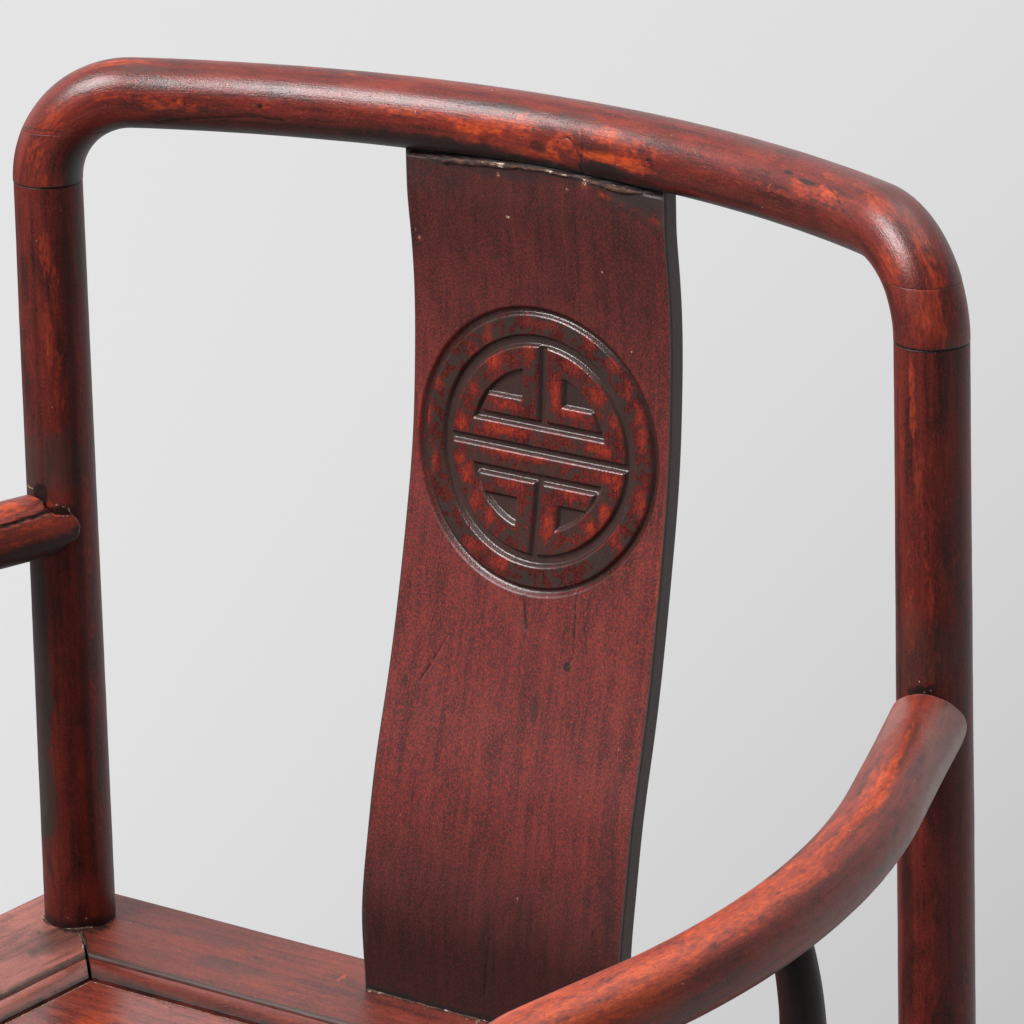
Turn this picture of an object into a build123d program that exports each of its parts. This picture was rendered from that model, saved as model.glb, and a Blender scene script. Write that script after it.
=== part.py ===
from build123d import *
import math
import os

# A round-post armchair with a low, bowed crest rail, a carved S-shaped splat, curved arms and a
# mitred seat frame with a floating wooden panel. Millimetres, +Z up, the front faces -Y, and left
# and right are those of someone who stands in front of the chair. The origin is on the floor, in
# the middle of the chair's box. Every right-hand piece is modelled and its left-hand twin mirrored.

# Whole chair
seat_height = 510.0
seat_width = 582.0
seat_depth = 450.0

# Fits and cuts
fit_gap = 0.15
mitre_gap = 0.3
cope_gap = 0.3
overrun = 30.0

# Legs and posts
leg_radius = 20.0
leg_foot_chamfer = 1.5
post_side_inset = 36.2
post_end_inset = 34.4
post_radius = 17.9
post_top_radius = 16.9
post_lean = 1.9
post_joint_height = 381.7
post_tenon_radius = 6.5
post_tenon_length = 35.0
post_tenon_inset = 4.0

# Crest rail
crest_radius = 17.1
crest_bow = 63.7
crest_bend = 44.5
elbow_block_height = 26.5

# Splat
splat_width = 149.5
splat_thickness = 10.0
splat_reach = 54.4
splat_foot_depth = 16.0
splat_head_set = 7.2
splat_head_straight = 24.0
splat_curve_shares = (
    (0.0, 0.037), (0.1, 0.02), (0.19, 0.12), (0.29, 0.275), (0.38, 0.46), (0.48, 0.64),
    (0.58, 0.79), (0.68, 0.915), (0.78, 0.98), (0.87, 1.0), (0.94, 0.97), (1.0, 0.936),
)

# Carved medallion on the splat
medal_height_share = 0.6967
medal_radius = 67.0
medal_trench = 3.6
ring_inner_radius = 55.5
disc_radius = 50.5
pocket_radius = 39.5
foot_reach = 35.0
groove_width = 4.8
spine_offset = 1.5
bar_width = 8.2
stem_width = 9.0
foot_taper = 3.6
carve_depth = 3.4

# Arms
arm_radius = 17.3
arm_height = 209.6
arm_drop_share = 0.09
arm_corner_share = 0.504
arm_corner_out = 71.7
arm_bend_share = 0.553
arm_front_out = 22.0
arm_elbow = 36.0
arm_socket = 7.0
arm_tenon_radius = 6.5
arm_tenon_length = 24.0
arm_tenon_end = 3.0

# Arm supports
support_back = 186.0
support_base_back = 172.0
support_base_inset = 30.0
support_top_radius = 9.2
support_base_radius = 14.5
support_tenon_radius = 5.0
support_tenon_length = 9.0
support_foot_radius = 8.0
support_foot_length = 18.0

# Seat frame
rail_width = 87.5
rail_thickness = 32.0
rail_flat = 70.9
edge_round = 2.2
edge_lip = 11.0
edge_step = 1.8
edge_undercut = 12.0
edge_sag = 1.6
arris = 0.9
quirk_width = 2.8
quirk_depth = 4.6
bead_rise = 3.4
tenon_width = 12.0
tenon_thickness = 10.0
tenon_side_inset = 56.0
tenon_depth = 14.0
tenon_stop = 14.0
tenon_root = 10.0

# Seat panel and its battens
panel_drop = 5.5
panel_thickness = 12.0
panel_gap = 0.9
tongue_drop = 3.0
tongue_thickness = 6.0
tongue_length = 7.0
groove_depth = 8.0
batten_width = 28.0
batten_height = 13.5
batten_spacing = 190.0
batten_tenon = 7.5

# Stretchers
foot_rail_top = 100.0
foot_rail_depth = 35.0
foot_rail_height = 22.0
foot_rail_round = 6.0
side_stretcher_height = 124.0
back_stretcher_height = 160.0
stretcher_width = 21.0
stretcher_depth = 28.0
stretcher_round = 8.0
stretcher_tenon_width = 8.0
stretcher_tenon_height = 15.0
stretcher_tenon_stop = 4.0

# Aprons
apron_thickness = 9.0
apron_set = 4.0
apron_tongue = 5.0
apron_height = 42.0
apron_head_drop = 78.0
apron_head_width = 24.0
apron_curve = 22.0
front_head_drop = 72.0
front_strip_width = 20.0
front_curve = 24.0
foot_apron_height = 24.0

# Places worked out from the sizes above
half_width = seat_width / 2
post_x = half_width - post_side_inset
back_reach = crest_bow + crest_radius
front_reach = seat_depth - post_end_inset
rear_y = (front_reach - back_reach) / 2
front_y = rear_y - front_reach + post_end_inset
seat_back_y = rear_y + post_end_inset
seat_front_y = seat_back_y - seat_depth
seat_middle_y = (seat_back_y + seat_front_y) / 2
seat_bottom = seat_height - rail_thickness
panel_top = seat_height - panel_drop
panel_bottom = panel_top - panel_thickness
tongue_top = panel_top - tongue_drop
tongue_bottom = tongue_top - tongue_thickness
post_top = seat_height + post_joint_height
post_top_x = post_x - post_lean
splat_head_height = post_joint_height + crest_bend - splat_head_set
splat_curve_height = splat_head_height - splat_head_straight
medal_height = splat_curve_height * medal_height_share
arm_z = seat_height + arm_height
arm_lean = post_lean * arm_height / post_joint_height
tongue_reach = leg_radius - apron_tongue


# Paths and round bars

def upright(centre_x, centre_y, bottom, top, radius, top_radius=None, top_x=None):
    """A round upright that may taper and lean sideways, with level ends."""
    with BuildPart() as bar:
        with BuildSketch(Plane.XY.offset(bottom)):
            with Locations((centre_x, centre_y)):
                Circle(radius)
        with BuildSketch(Plane.XY.offset(top)):
            with Locations((centre_x if top_x is None else top_x, centre_y)):
                Circle(radius if top_radius is None else top_radius)
        loft()
    return bar.part


def block(x_range, y_range, z_range):
    """A plain block between two corners, used for mortises, slots and tenons."""
    with BuildPart() as solid:
        with Locations((
            (x_range[0] + x_range[1]) / 2,
            (y_range[0] + y_range[1]) / 2,
            (z_range[0] + z_range[1]) / 2,
        )):
            Box(
                abs(x_range[1] - x_range[0]),
                abs(y_range[1] - y_range[0]),
                abs(z_range[1] - z_range[0]),
            )
    return solid.part


def around(middle, size, gap=0.0):
    """The low and high ends of a size about its middle, widened by a gap."""
    return middle - size / 2 - gap, middle + size / 2 + gap


def pin(origin, direction, length, radius):
    """A round tenon or its mortise, from an origin along a direction."""
    with BuildPart() as solid:
        with BuildSketch(Plane(origin=origin, z_dir=direction)):
            Circle(radius)
        extrude(amount=length)
    return solid.part


def rear_shaft():
    """The rear post above the seat, tapered and leaning a little inwards."""
    return upright(
        post_x, rear_y, seat_height, post_top, post_radius, post_top_radius, post_top_x
    )


# Crest rail path: an elbow rises out of each post into one level arc that bows backwards
crest_half_turn = math.atan(crest_bow / (post_top_x + crest_bend))
crest_turn = 2 * crest_half_turn
crest_inward = Vector(-math.cos(crest_turn), math.sin(crest_turn), 0)
crest_start = Vector(post_top_x, rear_y, post_top)
crest_bend_end = crest_start + crest_inward * crest_bend + Vector(0, 0, crest_bend)
seam_height = post_top + elbow_block_height


def left_of(point):
    """The mirror image of a point on the chair's left-hand side."""
    return Vector(-point.X, point.Y, point.Z)


def crest_bar():
    """The whole bent crest, from one post's joint to the other's."""
    with BuildPart() as bar:
        with BuildLine() as path:
            rise = TangentArc(crest_start, crest_bend_end, tangent=(0, 0, 1))
            bow = TangentArc(crest_bend_end, left_of(crest_bend_end), tangent=rise % 1)
            TangentArc(left_of(crest_bend_end), left_of(crest_start), tangent=bow % 1)
        with BuildSketch(Plane(origin=crest_start, z_dir=(0, 0, 1))):
            Circle(crest_radius)
        sweep(path=path.line)
    return bar.part


def crest_socket(extra):
    """The post's round tenon in the crest's elbow, or its mortise with a gap."""
    origin = crest_start + crest_inward * post_tenon_inset
    return pin(origin, (0, 0, 1), post_tenon_length + extra, post_tenon_radius + extra)


# Splat: an S-shaped board, thin from front to back

def splat_points(shift):
    """The splat's front curve, moved back by a shift, from seat to crest."""
    return [
        (rear_y + splat_reach * out + shift, seat_height + splat_curve_height * up)
        for up, out in splat_curve_shares
    ]


def splat_slab(front_shift, back_shift):
    """The board between two copies of the splat's curve, as wide as the splat."""
    front = splat_points(front_shift)
    back = splat_points(back_shift)
    foot = seat_height - splat_foot_depth
    head = seat_height + splat_head_height
    with BuildPart() as slab:
        with BuildSketch(Plane.YZ):
            with BuildLine():
                Spline(*front, tangents=((0, 1), (0, 1)))
                Line(front[-1], (front[-1][0], head))
                Line((front[-1][0], head), (back[-1][0], head))
                Line((back[-1][0], head), back[-1])
                Spline(*back[::-1], tangents=((0, -1), (0, -1)))
                Line(back[0], (back[0][0], foot))
                Line((back[0][0], foot), (front[0][0], foot))
                Line((front[0][0], foot), front[0])
            make_face()
        extrude(amount=splat_width / 2, both=True)
    return slab.part


def medal_pattern():
    """The round ornament's grooves, drawn about its centre: a ring, two halves and their hooks."""
    bar_edge = groove_width / 2 + bar_width
    foot_low = bar_edge + groove_width
    foot_high = foot_low + bar_width
    stem_inner = groove_width / 2
    stem_outer = stem_inner + stem_width
    with BuildSketch() as grooves:
        Circle(medal_radius + medal_trench)
        Circle(medal_radius, mode=Mode.SUBTRACT)
        Circle(ring_inner_radius)
        Circle(disc_radius, mode=Mode.SUBTRACT)
        Rectangle(2 * ring_inner_radius - groove_width, groove_width)
        for side in (1, -1):
            with BuildSketch(mode=Mode.PRIVATE) as pocket:
                Circle(pocket_radius)
                with Locations((0, side * (bar_edge - pocket_radius))):
                    Rectangle(2 * pocket_radius, 2 * pocket_radius, mode=Mode.SUBTRACT)
                for hand in (1, -1):
                    with BuildLine(mode=Mode.PRIVATE) as hook:
                        Polyline(
                            (spine_offset + hand * stem_inner, side * foot_low),
                            (spine_offset + hand * foot_reach, side * foot_low),
                            (spine_offset + hand * (foot_reach - foot_taper), side * foot_high),
                            (spine_offset + hand * stem_outer, side * foot_high),
                            (spine_offset + hand * stem_outer, side * pocket_radius),
                            (spine_offset + hand * stem_inner, side * pocket_radius),
                            close=True,
                        )
                    add(make_face(hook.edges(), mode=Mode.PRIVATE), mode=Mode.SUBTRACT)
            add(pocket.sketch)
            with Locations((spine_offset, side * (foot_low + ring_inner_radius) / 2)):
                Rectangle(groove_width, ring_inner_radius - foot_low)
    return grooves.sketch


def medal_cutter():
    """The carving as a solid that follows the splat's curved face at one depth."""
    with BuildPart() as cutter:
        with BuildSketch(Plane.XZ.offset(-rear_y)):
            with Locations((0, seat_height + medal_height)):
                add(medal_pattern())
        extrude(amount=splat_reach + overrun, both=True)
        add(splat_slab(-overrun, carve_depth), mode=Mode.INTERSECT)
    return cutter.part


with BuildPart() as splat:
    add(splat_slab(0, splat_thickness))
    add(medal_cutter(), mode=Mode.SUBTRACT)


def splat_mortise(low, high):
    """The slot that takes the splat's head or foot, with its gap."""
    front = rear_y + splat_reach * splat_curve_shares[0][1]
    if low > seat_height:
        front = rear_y + splat_reach * splat_curve_shares[-1][1]
    return block(
        around(0, splat_width, fit_gap),
        (front - fit_gap, front + splat_thickness + fit_gap),
        (low, high),
    )


# Crest rail and the block under each of its elbows
with BuildPart() as crest_rail:
    add(crest_bar())
    split(bisect_by=Plane.XY.offset(seam_height), keep=Keep.TOP)
    add(
        splat_mortise(seat_height + splat_curve_height, seat_height + splat_head_height + fit_gap),
        mode=Mode.SUBTRACT,
    )
    add(crest_socket(fit_gap), mode=Mode.SUBTRACT)
    add(mirror(crest_socket(fit_gap), about=Plane.YZ, mode=Mode.PRIVATE), mode=Mode.SUBTRACT)

with BuildPart() as elbow_block_right:
    add(crest_bar())
    split(bisect_by=Plane.XY.offset(seam_height), keep=Keep.BOTTOM)
    split(bisect_by=Plane.YZ, keep=Keep.TOP)
    add(crest_socket(fit_gap), mode=Mode.SUBTRACT)


# Arm path: out and forwards from the rear post, one long bend, then down into the front post
arm_run = rear_y - front_y
arm_corner_back = arm_run * arm_corner_share
arm_start = Vector(post_x - arm_lean, rear_y, arm_z)
arm_corner = arm_start + Vector(
    arm_corner_out, -arm_corner_back, -arm_drop_share * arm_corner_back
)
arm_front = Vector(
    post_x + arm_front_out, front_y, arm_z - arm_drop_share * arm_run
)
arm_front_run = arm_front - arm_corner
arm_half_turn = math.radians((arm_corner - arm_start).get_angle(arm_front_run)) / 2
arm_bend = arm_bend_share * arm_front_run.length / math.tan(arm_half_turn)
arm_down = arm_front - Vector(0, 0, arm_elbow + arm_socket)
arm_direction = (arm_corner - arm_start).normalized()


def arm_bar(extra=0.0):
    """The arm from the rear post's axis to its joint with the front post."""
    with BuildPart() as bar:
        with BuildLine() as path:
            FilletPolyline(
                arm_start, arm_corner, arm_front, arm_down, radius=(arm_bend, arm_elbow)
            )
        with BuildSketch(Plane(origin=arm_start, z_dir=arm_direction)):
            Circle(arm_radius + extra)
        sweep(path=path.line)
    return bar.part


def arm_cope():
    """The round hollow in the arm's end that fits the rear post at arm height."""
    radius = post_radius + (post_top_radius - post_radius) * arm_height / post_joint_height
    return upright(
        arm_start.X, arm_start.Y, arm_z - overrun, arm_z + overrun, radius + cope_gap
    )


def arm_rear_tenon(extra):
    """The arm's round tenon in the rear post, or its mortise with a gap."""
    origin = arm_start + arm_direction * (arm_tenon_end - extra)
    return pin(origin, arm_direction, arm_tenon_length + extra, arm_tenon_radius + extra)


def arm_front_tenon(extra):
    """The front post's round tenon in the arm, or its mortise with a gap."""
    return pin(arm_down, (0, 0, 1), arm_tenon_length + extra, arm_tenon_radius + extra)


# Arm support: a tapered round bar that rises from the side rail and curves outwards
support_share = (support_back - arm_corner_back) / arm_corner_back
support_out = arm_corner_out - arm_radius + support_share * arm_corner_out
support_top = Vector(
    arm_start.X + support_out, rear_y - support_back, arm_z - arm_drop_share * support_back
)
support_base = Vector(half_width - support_base_inset, rear_y - support_base_back, seat_height)


def support_top_tenon(extra):
    """The support's round tenon in the arm, or its mortise with a gap."""
    origin = support_top - Vector(0, 0, arm_radius + support_tenon_length)
    return pin(
        origin, (0, 0, 1), 2 * support_tenon_length + extra, support_tenon_radius + extra
    )


def support_foot_tenon(extra):
    """The support's round tenon in the side rail, or its mortise with a gap."""
    return pin(
        support_base + Vector(0, 0, support_base_radius / 2), (0, 0, -1),
        support_base_radius / 2 + support_foot_length + extra, support_foot_radius + extra,
    )


with BuildPart() as arm_support_right:
    with BuildLine() as support_path:
        support_curve = TangentArc(
            support_top, support_base, tangent=(0, 0, -1)
        )
    with BuildSketch(Plane(origin=support_curve @ 0, z_dir=support_curve % 0)):
        Circle(support_top_radius)
    with BuildSketch(Plane(origin=support_curve @ 1, z_dir=support_curve % 1)):
        Circle(support_base_radius)
    sweep(path=support_path.line, multisection=True)
    add(arm_bar(fit_gap), mode=Mode.SUBTRACT)
    split(bisect_by=Plane.XY.offset(seat_height), keep=Keep.TOP)
    add(support_top_tenon(0))
    add(support_foot_tenon(0))

with BuildPart() as arm_right:
    add(arm_bar())
    add(arm_cope(), mode=Mode.SUBTRACT)
    add(arm_rear_tenon(0))
    add(arm_front_tenon(fit_gap), mode=Mode.SUBTRACT)
    add(support_top_tenon(fit_gap), mode=Mode.SUBTRACT)


# Seat frame: four moulded rails, mitred at the corners round the posts

def rail_plane(inward, reach):
    """The plane across a rail: x runs inwards from the outer edge and y is up."""
    up = Vector(0, 0, 1)
    origin = Vector(0, seat_middle_y, seat_height) - inward * reach
    return Plane(origin=origin, x_dir=inward, z_dir=inward.cross(up))


def rail_bar(inward, reach, length):
    """One rail's moulding, with the panel's groove, before its ends are mitred."""
    bead_start = rail_flat + quirk_width
    groove_top = tongue_top - seat_height + fit_gap
    groove_low = tongue_bottom - seat_height - fit_gap
    groove_back = rail_width - groove_depth
    with BuildPart() as bar:
        with BuildSketch(rail_plane(inward, reach)):
            with BuildLine():
                RadiusArc((0, -edge_round), (edge_round, 0), edge_round)
                Polyline(
                    (edge_round, 0), (rail_flat - arris, 0), (rail_flat, -arris),
                    (rail_flat, -quirk_depth), (bead_start, -quirk_depth),
                )
                SagittaArc((bead_start, -quirk_depth), (rail_width, -quirk_depth), -bead_rise)
                Polyline(
                    (rail_width, -quirk_depth), (rail_width, groove_top),
                    (groove_back, groove_top), (groove_back, groove_low),
                    (rail_width, groove_low), (rail_width, -rail_thickness),
                    (edge_undercut, -rail_thickness),
                )
                SagittaArc((edge_undercut, -rail_thickness), (edge_step, -edge_lip), edge_sag)
                Polyline((edge_step, -edge_lip), (0, -edge_lip), (0, -edge_round))
            make_face()
        extrude(amount=length / 2, both=True)
    return bar.part


def mitre(corner_x, corner_y, toward_x, toward_y):
    """The upright plane through a corner of the frame, at 45 degrees."""
    return Plane(origin=(corner_x, corner_y, 0), z_dir=(toward_x, toward_y, 0))


def corner_tenon(hand, rear, extra):
    """The hidden tenon of a front or back rail in a side rail, or its mortise."""
    edge = seat_back_y if rear else seat_front_y
    inward = -1 if rear else 1
    low = edge + inward * tenon_side_inset
    high = low + inward * tenon_width
    root = tenon_root if extra == 0 else overrun
    start = hand * (half_width - tenon_side_inset - tenon_width - root)
    stop = hand * (half_width - tenon_stop + extra)
    return block(
        (start, stop),
        (min(low, high) - extra, max(low, high) + extra),
        around(seat_height - tenon_depth - tenon_thickness / 2, tenon_thickness, extra),
    )


def post_holes(x_signs, y_places):
    """Round holes through the frame's corners for the posts."""
    with BuildPart() as holes:
        with BuildSketch(Plane.XY.offset(seat_bottom - overrun)):
            with Locations([(sign * post_x, place) for sign in x_signs for place in y_places]):
                Circle(post_radius + fit_gap)
        extrude(amount=rail_thickness + 2 * overrun)
    return holes.part


def batten_box(hand, extra, length):
    """One batten under the panel, or its mortises with a gap."""
    return block(
        around(hand * batten_spacing / 2, batten_width, extra),
        around(seat_middle_y, length, extra),
        around(panel_bottom - batten_height / 2, batten_height, extra),
    )


inner_length = seat_depth - 2 * rail_width
batten_length = inner_length + 2 * batten_tenon


def long_rail(rear):
    """The back or front rail, with its tenons and the battens' mortises."""
    inward = Vector(0, -1 if rear else 1, 0)
    edge = seat_back_y if rear else seat_front_y
    with BuildPart() as rail:
        add(rail_bar(inward, seat_depth / 2, seat_width))
        for hand in (1, -1):
            split(
                bisect_by=mitre(hand * half_width, edge, -hand, -inward.Y),
                keep=Keep.TOP,
            )
        for hand in (1, -1):
            add(corner_tenon(hand, rear, 0))
            add(batten_box(hand, fit_gap, batten_length), mode=Mode.SUBTRACT)
        add(post_holes((1, -1), (rear_y if rear else front_y,)), mode=Mode.SUBTRACT)
        if rear:
            add(
                splat_mortise(seat_height - splat_foot_depth - fit_gap, seat_height),
                mode=Mode.SUBTRACT,
            )
    return rail


seat_rail_back = long_rail(True)
seat_rail_front = long_rail(False)

with BuildPart() as seat_rail_right:
    add(rail_bar(Vector(-1, 0, 0), half_width, seat_depth))
    split(bisect_by=mitre(half_width, seat_back_y - mitre_gap, 1, -1), keep=Keep.TOP)
    split(bisect_by=mitre(half_width, seat_front_y + mitre_gap, 1, 1), keep=Keep.TOP)
    add(corner_tenon(1, True, fit_gap), mode=Mode.SUBTRACT)
    add(corner_tenon(1, False, fit_gap), mode=Mode.SUBTRACT)
    add(post_holes((1,), (rear_y, front_y)), mode=Mode.SUBTRACT)
    add(support_foot_tenon(fit_gap), mode=Mode.SUBTRACT)


# Seat panel, floating in the frame's groove, and the two battens across its underside
opening_width = seat_width - 2 * rail_width
with BuildPart() as seat_panel:
    with BuildSketch(Plane.XY.offset(panel_bottom)):
        with Locations((0, seat_middle_y)):
            Rectangle(opening_width - 2 * panel_gap, inner_length - 2 * panel_gap)
    extrude(amount=panel_thickness)
    chamfer(seat_panel.faces().sort_by(Axis.Z)[-1].edges(), arris)
    with BuildSketch(Plane.XY.offset(tongue_bottom)):
        with Locations((0, seat_middle_y)):
            Rectangle(opening_width + 2 * tongue_length, inner_length + 2 * tongue_length)
    extrude(amount=tongue_thickness)

with BuildPart() as seat_batten_right:
    add(batten_box(1, 0, batten_length))


# Stretchers, stepped up from the front to the back, tenoned into the legs

def tenon_bar(start, end, height, gap):
    """The straight tenons at both ends of a stretcher, as one bar between their tips."""
    along_x = start[1] == end[1]
    middle_x = (start[0] + end[0]) / 2
    middle_y = (start[1] + end[1]) / 2
    length = abs(end[0] - start[0]) + abs(end[1] - start[1]) - 2 * stretcher_tenon_stop
    x_size = length if along_x else stretcher_tenon_width
    y_size = stretcher_tenon_width if along_x else length
    return block(
        around(middle_x, x_size, gap),
        around(middle_y, y_size, gap),
        around(height, stretcher_tenon_height, gap),
    )


def stretcher(start, end, height, width, depth, corner):
    """A rounded bar between two legs, hollowed to fit round them, with its tenons."""
    along_x = start[1] == end[1]
    direction = (1, 0, 0) if along_x else (0, 1, 0)
    across = (0, 1, 0) if along_x else (1, 0, 0)
    middle = ((start[0] + end[0]) / 2, (start[1] + end[1]) / 2, height)
    length = abs(end[0] - start[0]) + abs(end[1] - start[1])
    with BuildPart() as bar:
        with BuildSketch(Plane(origin=middle, x_dir=across, z_dir=direction)):
            RectangleRounded(width, depth, corner)
        extrude(amount=length / 2, both=True)
        for place in (start, end):
            add(
                upright(
                    place[0], place[1], height - depth, height + depth, leg_radius + fit_gap
                ),
                mode=Mode.SUBTRACT,
            )
        add(tenon_bar(start, end, height, 0))
    return bar


right_rear = (post_x, rear_y)
left_rear = (-post_x, rear_y)
right_front = (post_x, front_y)
left_front = (-post_x, front_y)
foot_rail_middle = foot_rail_top - foot_rail_height / 2

foot_rail = stretcher(
    left_front, right_front, foot_rail_middle, foot_rail_depth, foot_rail_height, foot_rail_round
)
side_stretcher_right = stretcher(
    right_front, right_rear, side_stretcher_height, stretcher_width, stretcher_depth,
    stretcher_round,
)
back_stretcher = stretcher(
    left_rear, right_rear, back_stretcher_height, stretcher_width, stretcher_depth,
    stretcher_round,
)


# Aprons under the seat, let into slots in the legs

def apron_outline(half_length, height, head_drop, head_width, curve):
    """A board's face: straight on top, with a deeper head at each end."""
    with BuildSketch() as face:
        with BuildLine():
            inner = half_length - head_width
            Polyline((-half_length, 0), (half_length, 0), (half_length, -head_drop))
            Line((half_length, -head_drop), (inner, -head_drop))
            Line((inner, -head_drop), (inner, -height - curve))
            RadiusArc((inner, -height - curve), (inner - curve, -height), -curve)
            Line((inner - curve, -height), (curve - inner, -height))
            RadiusArc((curve - inner, -height), (-inner, -height - curve), -curve)
            Line((-inner, -height - curve), (-inner, -head_drop))
            Line((-inner, -head_drop), (-half_length, -head_drop))
            Line((-half_length, -head_drop), (-half_length, 0))
        make_face()
    return face.sketch


def apron(plane, span, height, head_drop, head_width, curve):
    """A shaped board hung under the seat rail on a given upright plane."""
    with BuildPart() as board:
        with BuildSketch(plane):
            add(apron_outline(span / 2 - tongue_reach, height, head_drop, head_width, curve))
        extrude(amount=apron_thickness / 2, both=True)
    return board


head_width = apron_head_width + apron_tongue
strip_width = front_strip_width + apron_tongue
front_apron_y = front_y - apron_set
back_apron_y = rear_y + apron_set
side_apron_x = post_x + apron_set
side_middle_y = (rear_y + front_y) / 2

front_apron = apron(
    Plane(origin=(0, front_apron_y, seat_bottom), x_dir=(1, 0, 0), z_dir=(0, -1, 0)),
    2 * post_x, apron_height, front_head_drop, strip_width, front_curve,
)
back_apron = apron(
    Plane(origin=(0, back_apron_y, seat_bottom), x_dir=(1, 0, 0), z_dir=(0, -1, 0)),
    2 * post_x, apron_height, apron_head_drop, head_width, apron_curve,
)
side_apron_right = apron(
    Plane(origin=(side_apron_x, side_middle_y, seat_bottom), x_dir=(0, 1, 0), z_dir=(1, 0, 0)),
    rear_y - front_y, apron_height, apron_head_drop, head_width, apron_curve,
)

strip_outer = post_x - tongue_reach
with BuildPart() as front_strip_right:
    add(block(
        (strip_outer - strip_width, strip_outer),
        around(front_apron_y, apron_thickness),
        (foot_rail_top, seat_bottom - front_head_drop),
    ))

foot_apron_top = foot_rail_top - foot_rail_height
with BuildPart() as foot_apron:
    add(block(
        (-strip_outer, strip_outer),
        around(front_apron_y, apron_thickness),
        (foot_apron_top - foot_apron_height, foot_apron_top),
    ))


# Legs: each is one timber from the floor up, stepped in where the seat frame sits on it

def leg_stock(centre_y):
    """The right-hand leg from the floor through the seat frame."""
    with BuildPart() as stock:
        add(upright(post_x, centre_y, 0, seat_bottom, leg_radius))
        chamfer(stock.faces().sort_by(Axis.Z)[0].edges(), leg_foot_chamfer)
        add(upright(post_x, centre_y, seat_bottom, seat_height, post_radius))
    return stock.part


def across_slot(centre_y, low, high):
    """A leg's slot for a board that runs across the chair."""
    return block(
        (post_x - leg_radius - overrun, post_x - tongue_reach + fit_gap),
        around(centre_y, apron_thickness, fit_gap),
        (low - fit_gap, high),
    )


def along_slot(centre_y, toward):
    """A leg's slot for the side apron, on the leg's front or rear side."""
    near = centre_y + toward * (tongue_reach - fit_gap)
    far = centre_y + toward * (leg_radius + overrun)
    return block(
        around(side_apron_x, apron_thickness, fit_gap),
        (min(near, far), max(near, far)),
        (seat_bottom - apron_head_drop - fit_gap, seat_bottom),
    )


with BuildPart() as rear_leg_right:
    add(leg_stock(rear_y))
    add(rear_shaft())
    add(crest_socket(0))
    add(arm_rear_tenon(fit_gap), mode=Mode.SUBTRACT)
    add(tenon_bar(right_front, right_rear, side_stretcher_height, fit_gap), mode=Mode.SUBTRACT)
    add(tenon_bar(left_rear, right_rear, back_stretcher_height, fit_gap), mode=Mode.SUBTRACT)
    add(across_slot(back_apron_y, seat_bottom - apron_head_drop, seat_bottom), mode=Mode.SUBTRACT)
    add(along_slot(rear_y, -1), mode=Mode.SUBTRACT)

post_sections = 5
front_post_height = arm_down.Z - seat_height
with BuildPart() as front_leg_right:
    for step in range(post_sections):
        share = step / (post_sections - 1)
        ease = share * share * (3 - 2 * share)
        with BuildSketch(Plane.XY.offset(seat_height + front_post_height * share)):
            with Locations((post_x + arm_front_out * ease, front_y)):
                Circle(post_radius + (arm_radius - post_radius) * share)
    loft()
    add(leg_stock(front_y))
    add(arm_front_tenon(0))
    add(tenon_bar(right_front, right_rear, side_stretcher_height, fit_gap), mode=Mode.SUBTRACT)
    add(tenon_bar(left_front, right_front, foot_rail_middle, fit_gap), mode=Mode.SUBTRACT)
    add(across_slot(front_apron_y, foot_rail_top, seat_bottom), mode=Mode.SUBTRACT)
    add(
        across_slot(front_apron_y, foot_apron_top - foot_apron_height, foot_apron_top + fit_gap),
        mode=Mode.SUBTRACT,
    )
    add(along_slot(front_y, 1), mode=Mode.SUBTRACT)


# Every piece under its own name, with the left-hand twins
os.makedirs("parts", exist_ok=True)


def keep(part, name):
    """Label a finished piece and write it as its own file."""
    part.label = name
    export_step(part, f"parts/{name}.step")


paired = {
    "rear_leg": rear_leg_right,
    "front_leg": front_leg_right,
    "elbow_block": elbow_block_right,
    "arm": arm_right,
    "arm_support": arm_support_right,
    "seat_rail": seat_rail_right,
    "seat_batten": seat_batten_right,
    "side_stretcher": side_stretcher_right,
    "side_apron": side_apron_right,
    "front_strip": front_strip_right,
}
single = {
    "crest_rail": crest_rail,
    "splat": splat,
    "seat_rail_front": seat_rail_front,
    "seat_rail_back": seat_rail_back,
    "seat_panel": seat_panel,
    "foot_rail": foot_rail,
    "back_stretcher": back_stretcher,
    "front_apron": front_apron,
    "back_apron": back_apron,
    "foot_apron": foot_apron,
}
for name, piece in single.items():
    keep(piece.part, name)
for name, piece in paired.items():
    with BuildPart() as twin:
        mirror(piece.part, about=Plane.YZ)
    keep(piece.part, f"{name}_right")
    keep(twin.part, f"{name}_left")
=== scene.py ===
import math

import bpy
import numpy as np
from mathutils import Matrix, Vector


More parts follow.
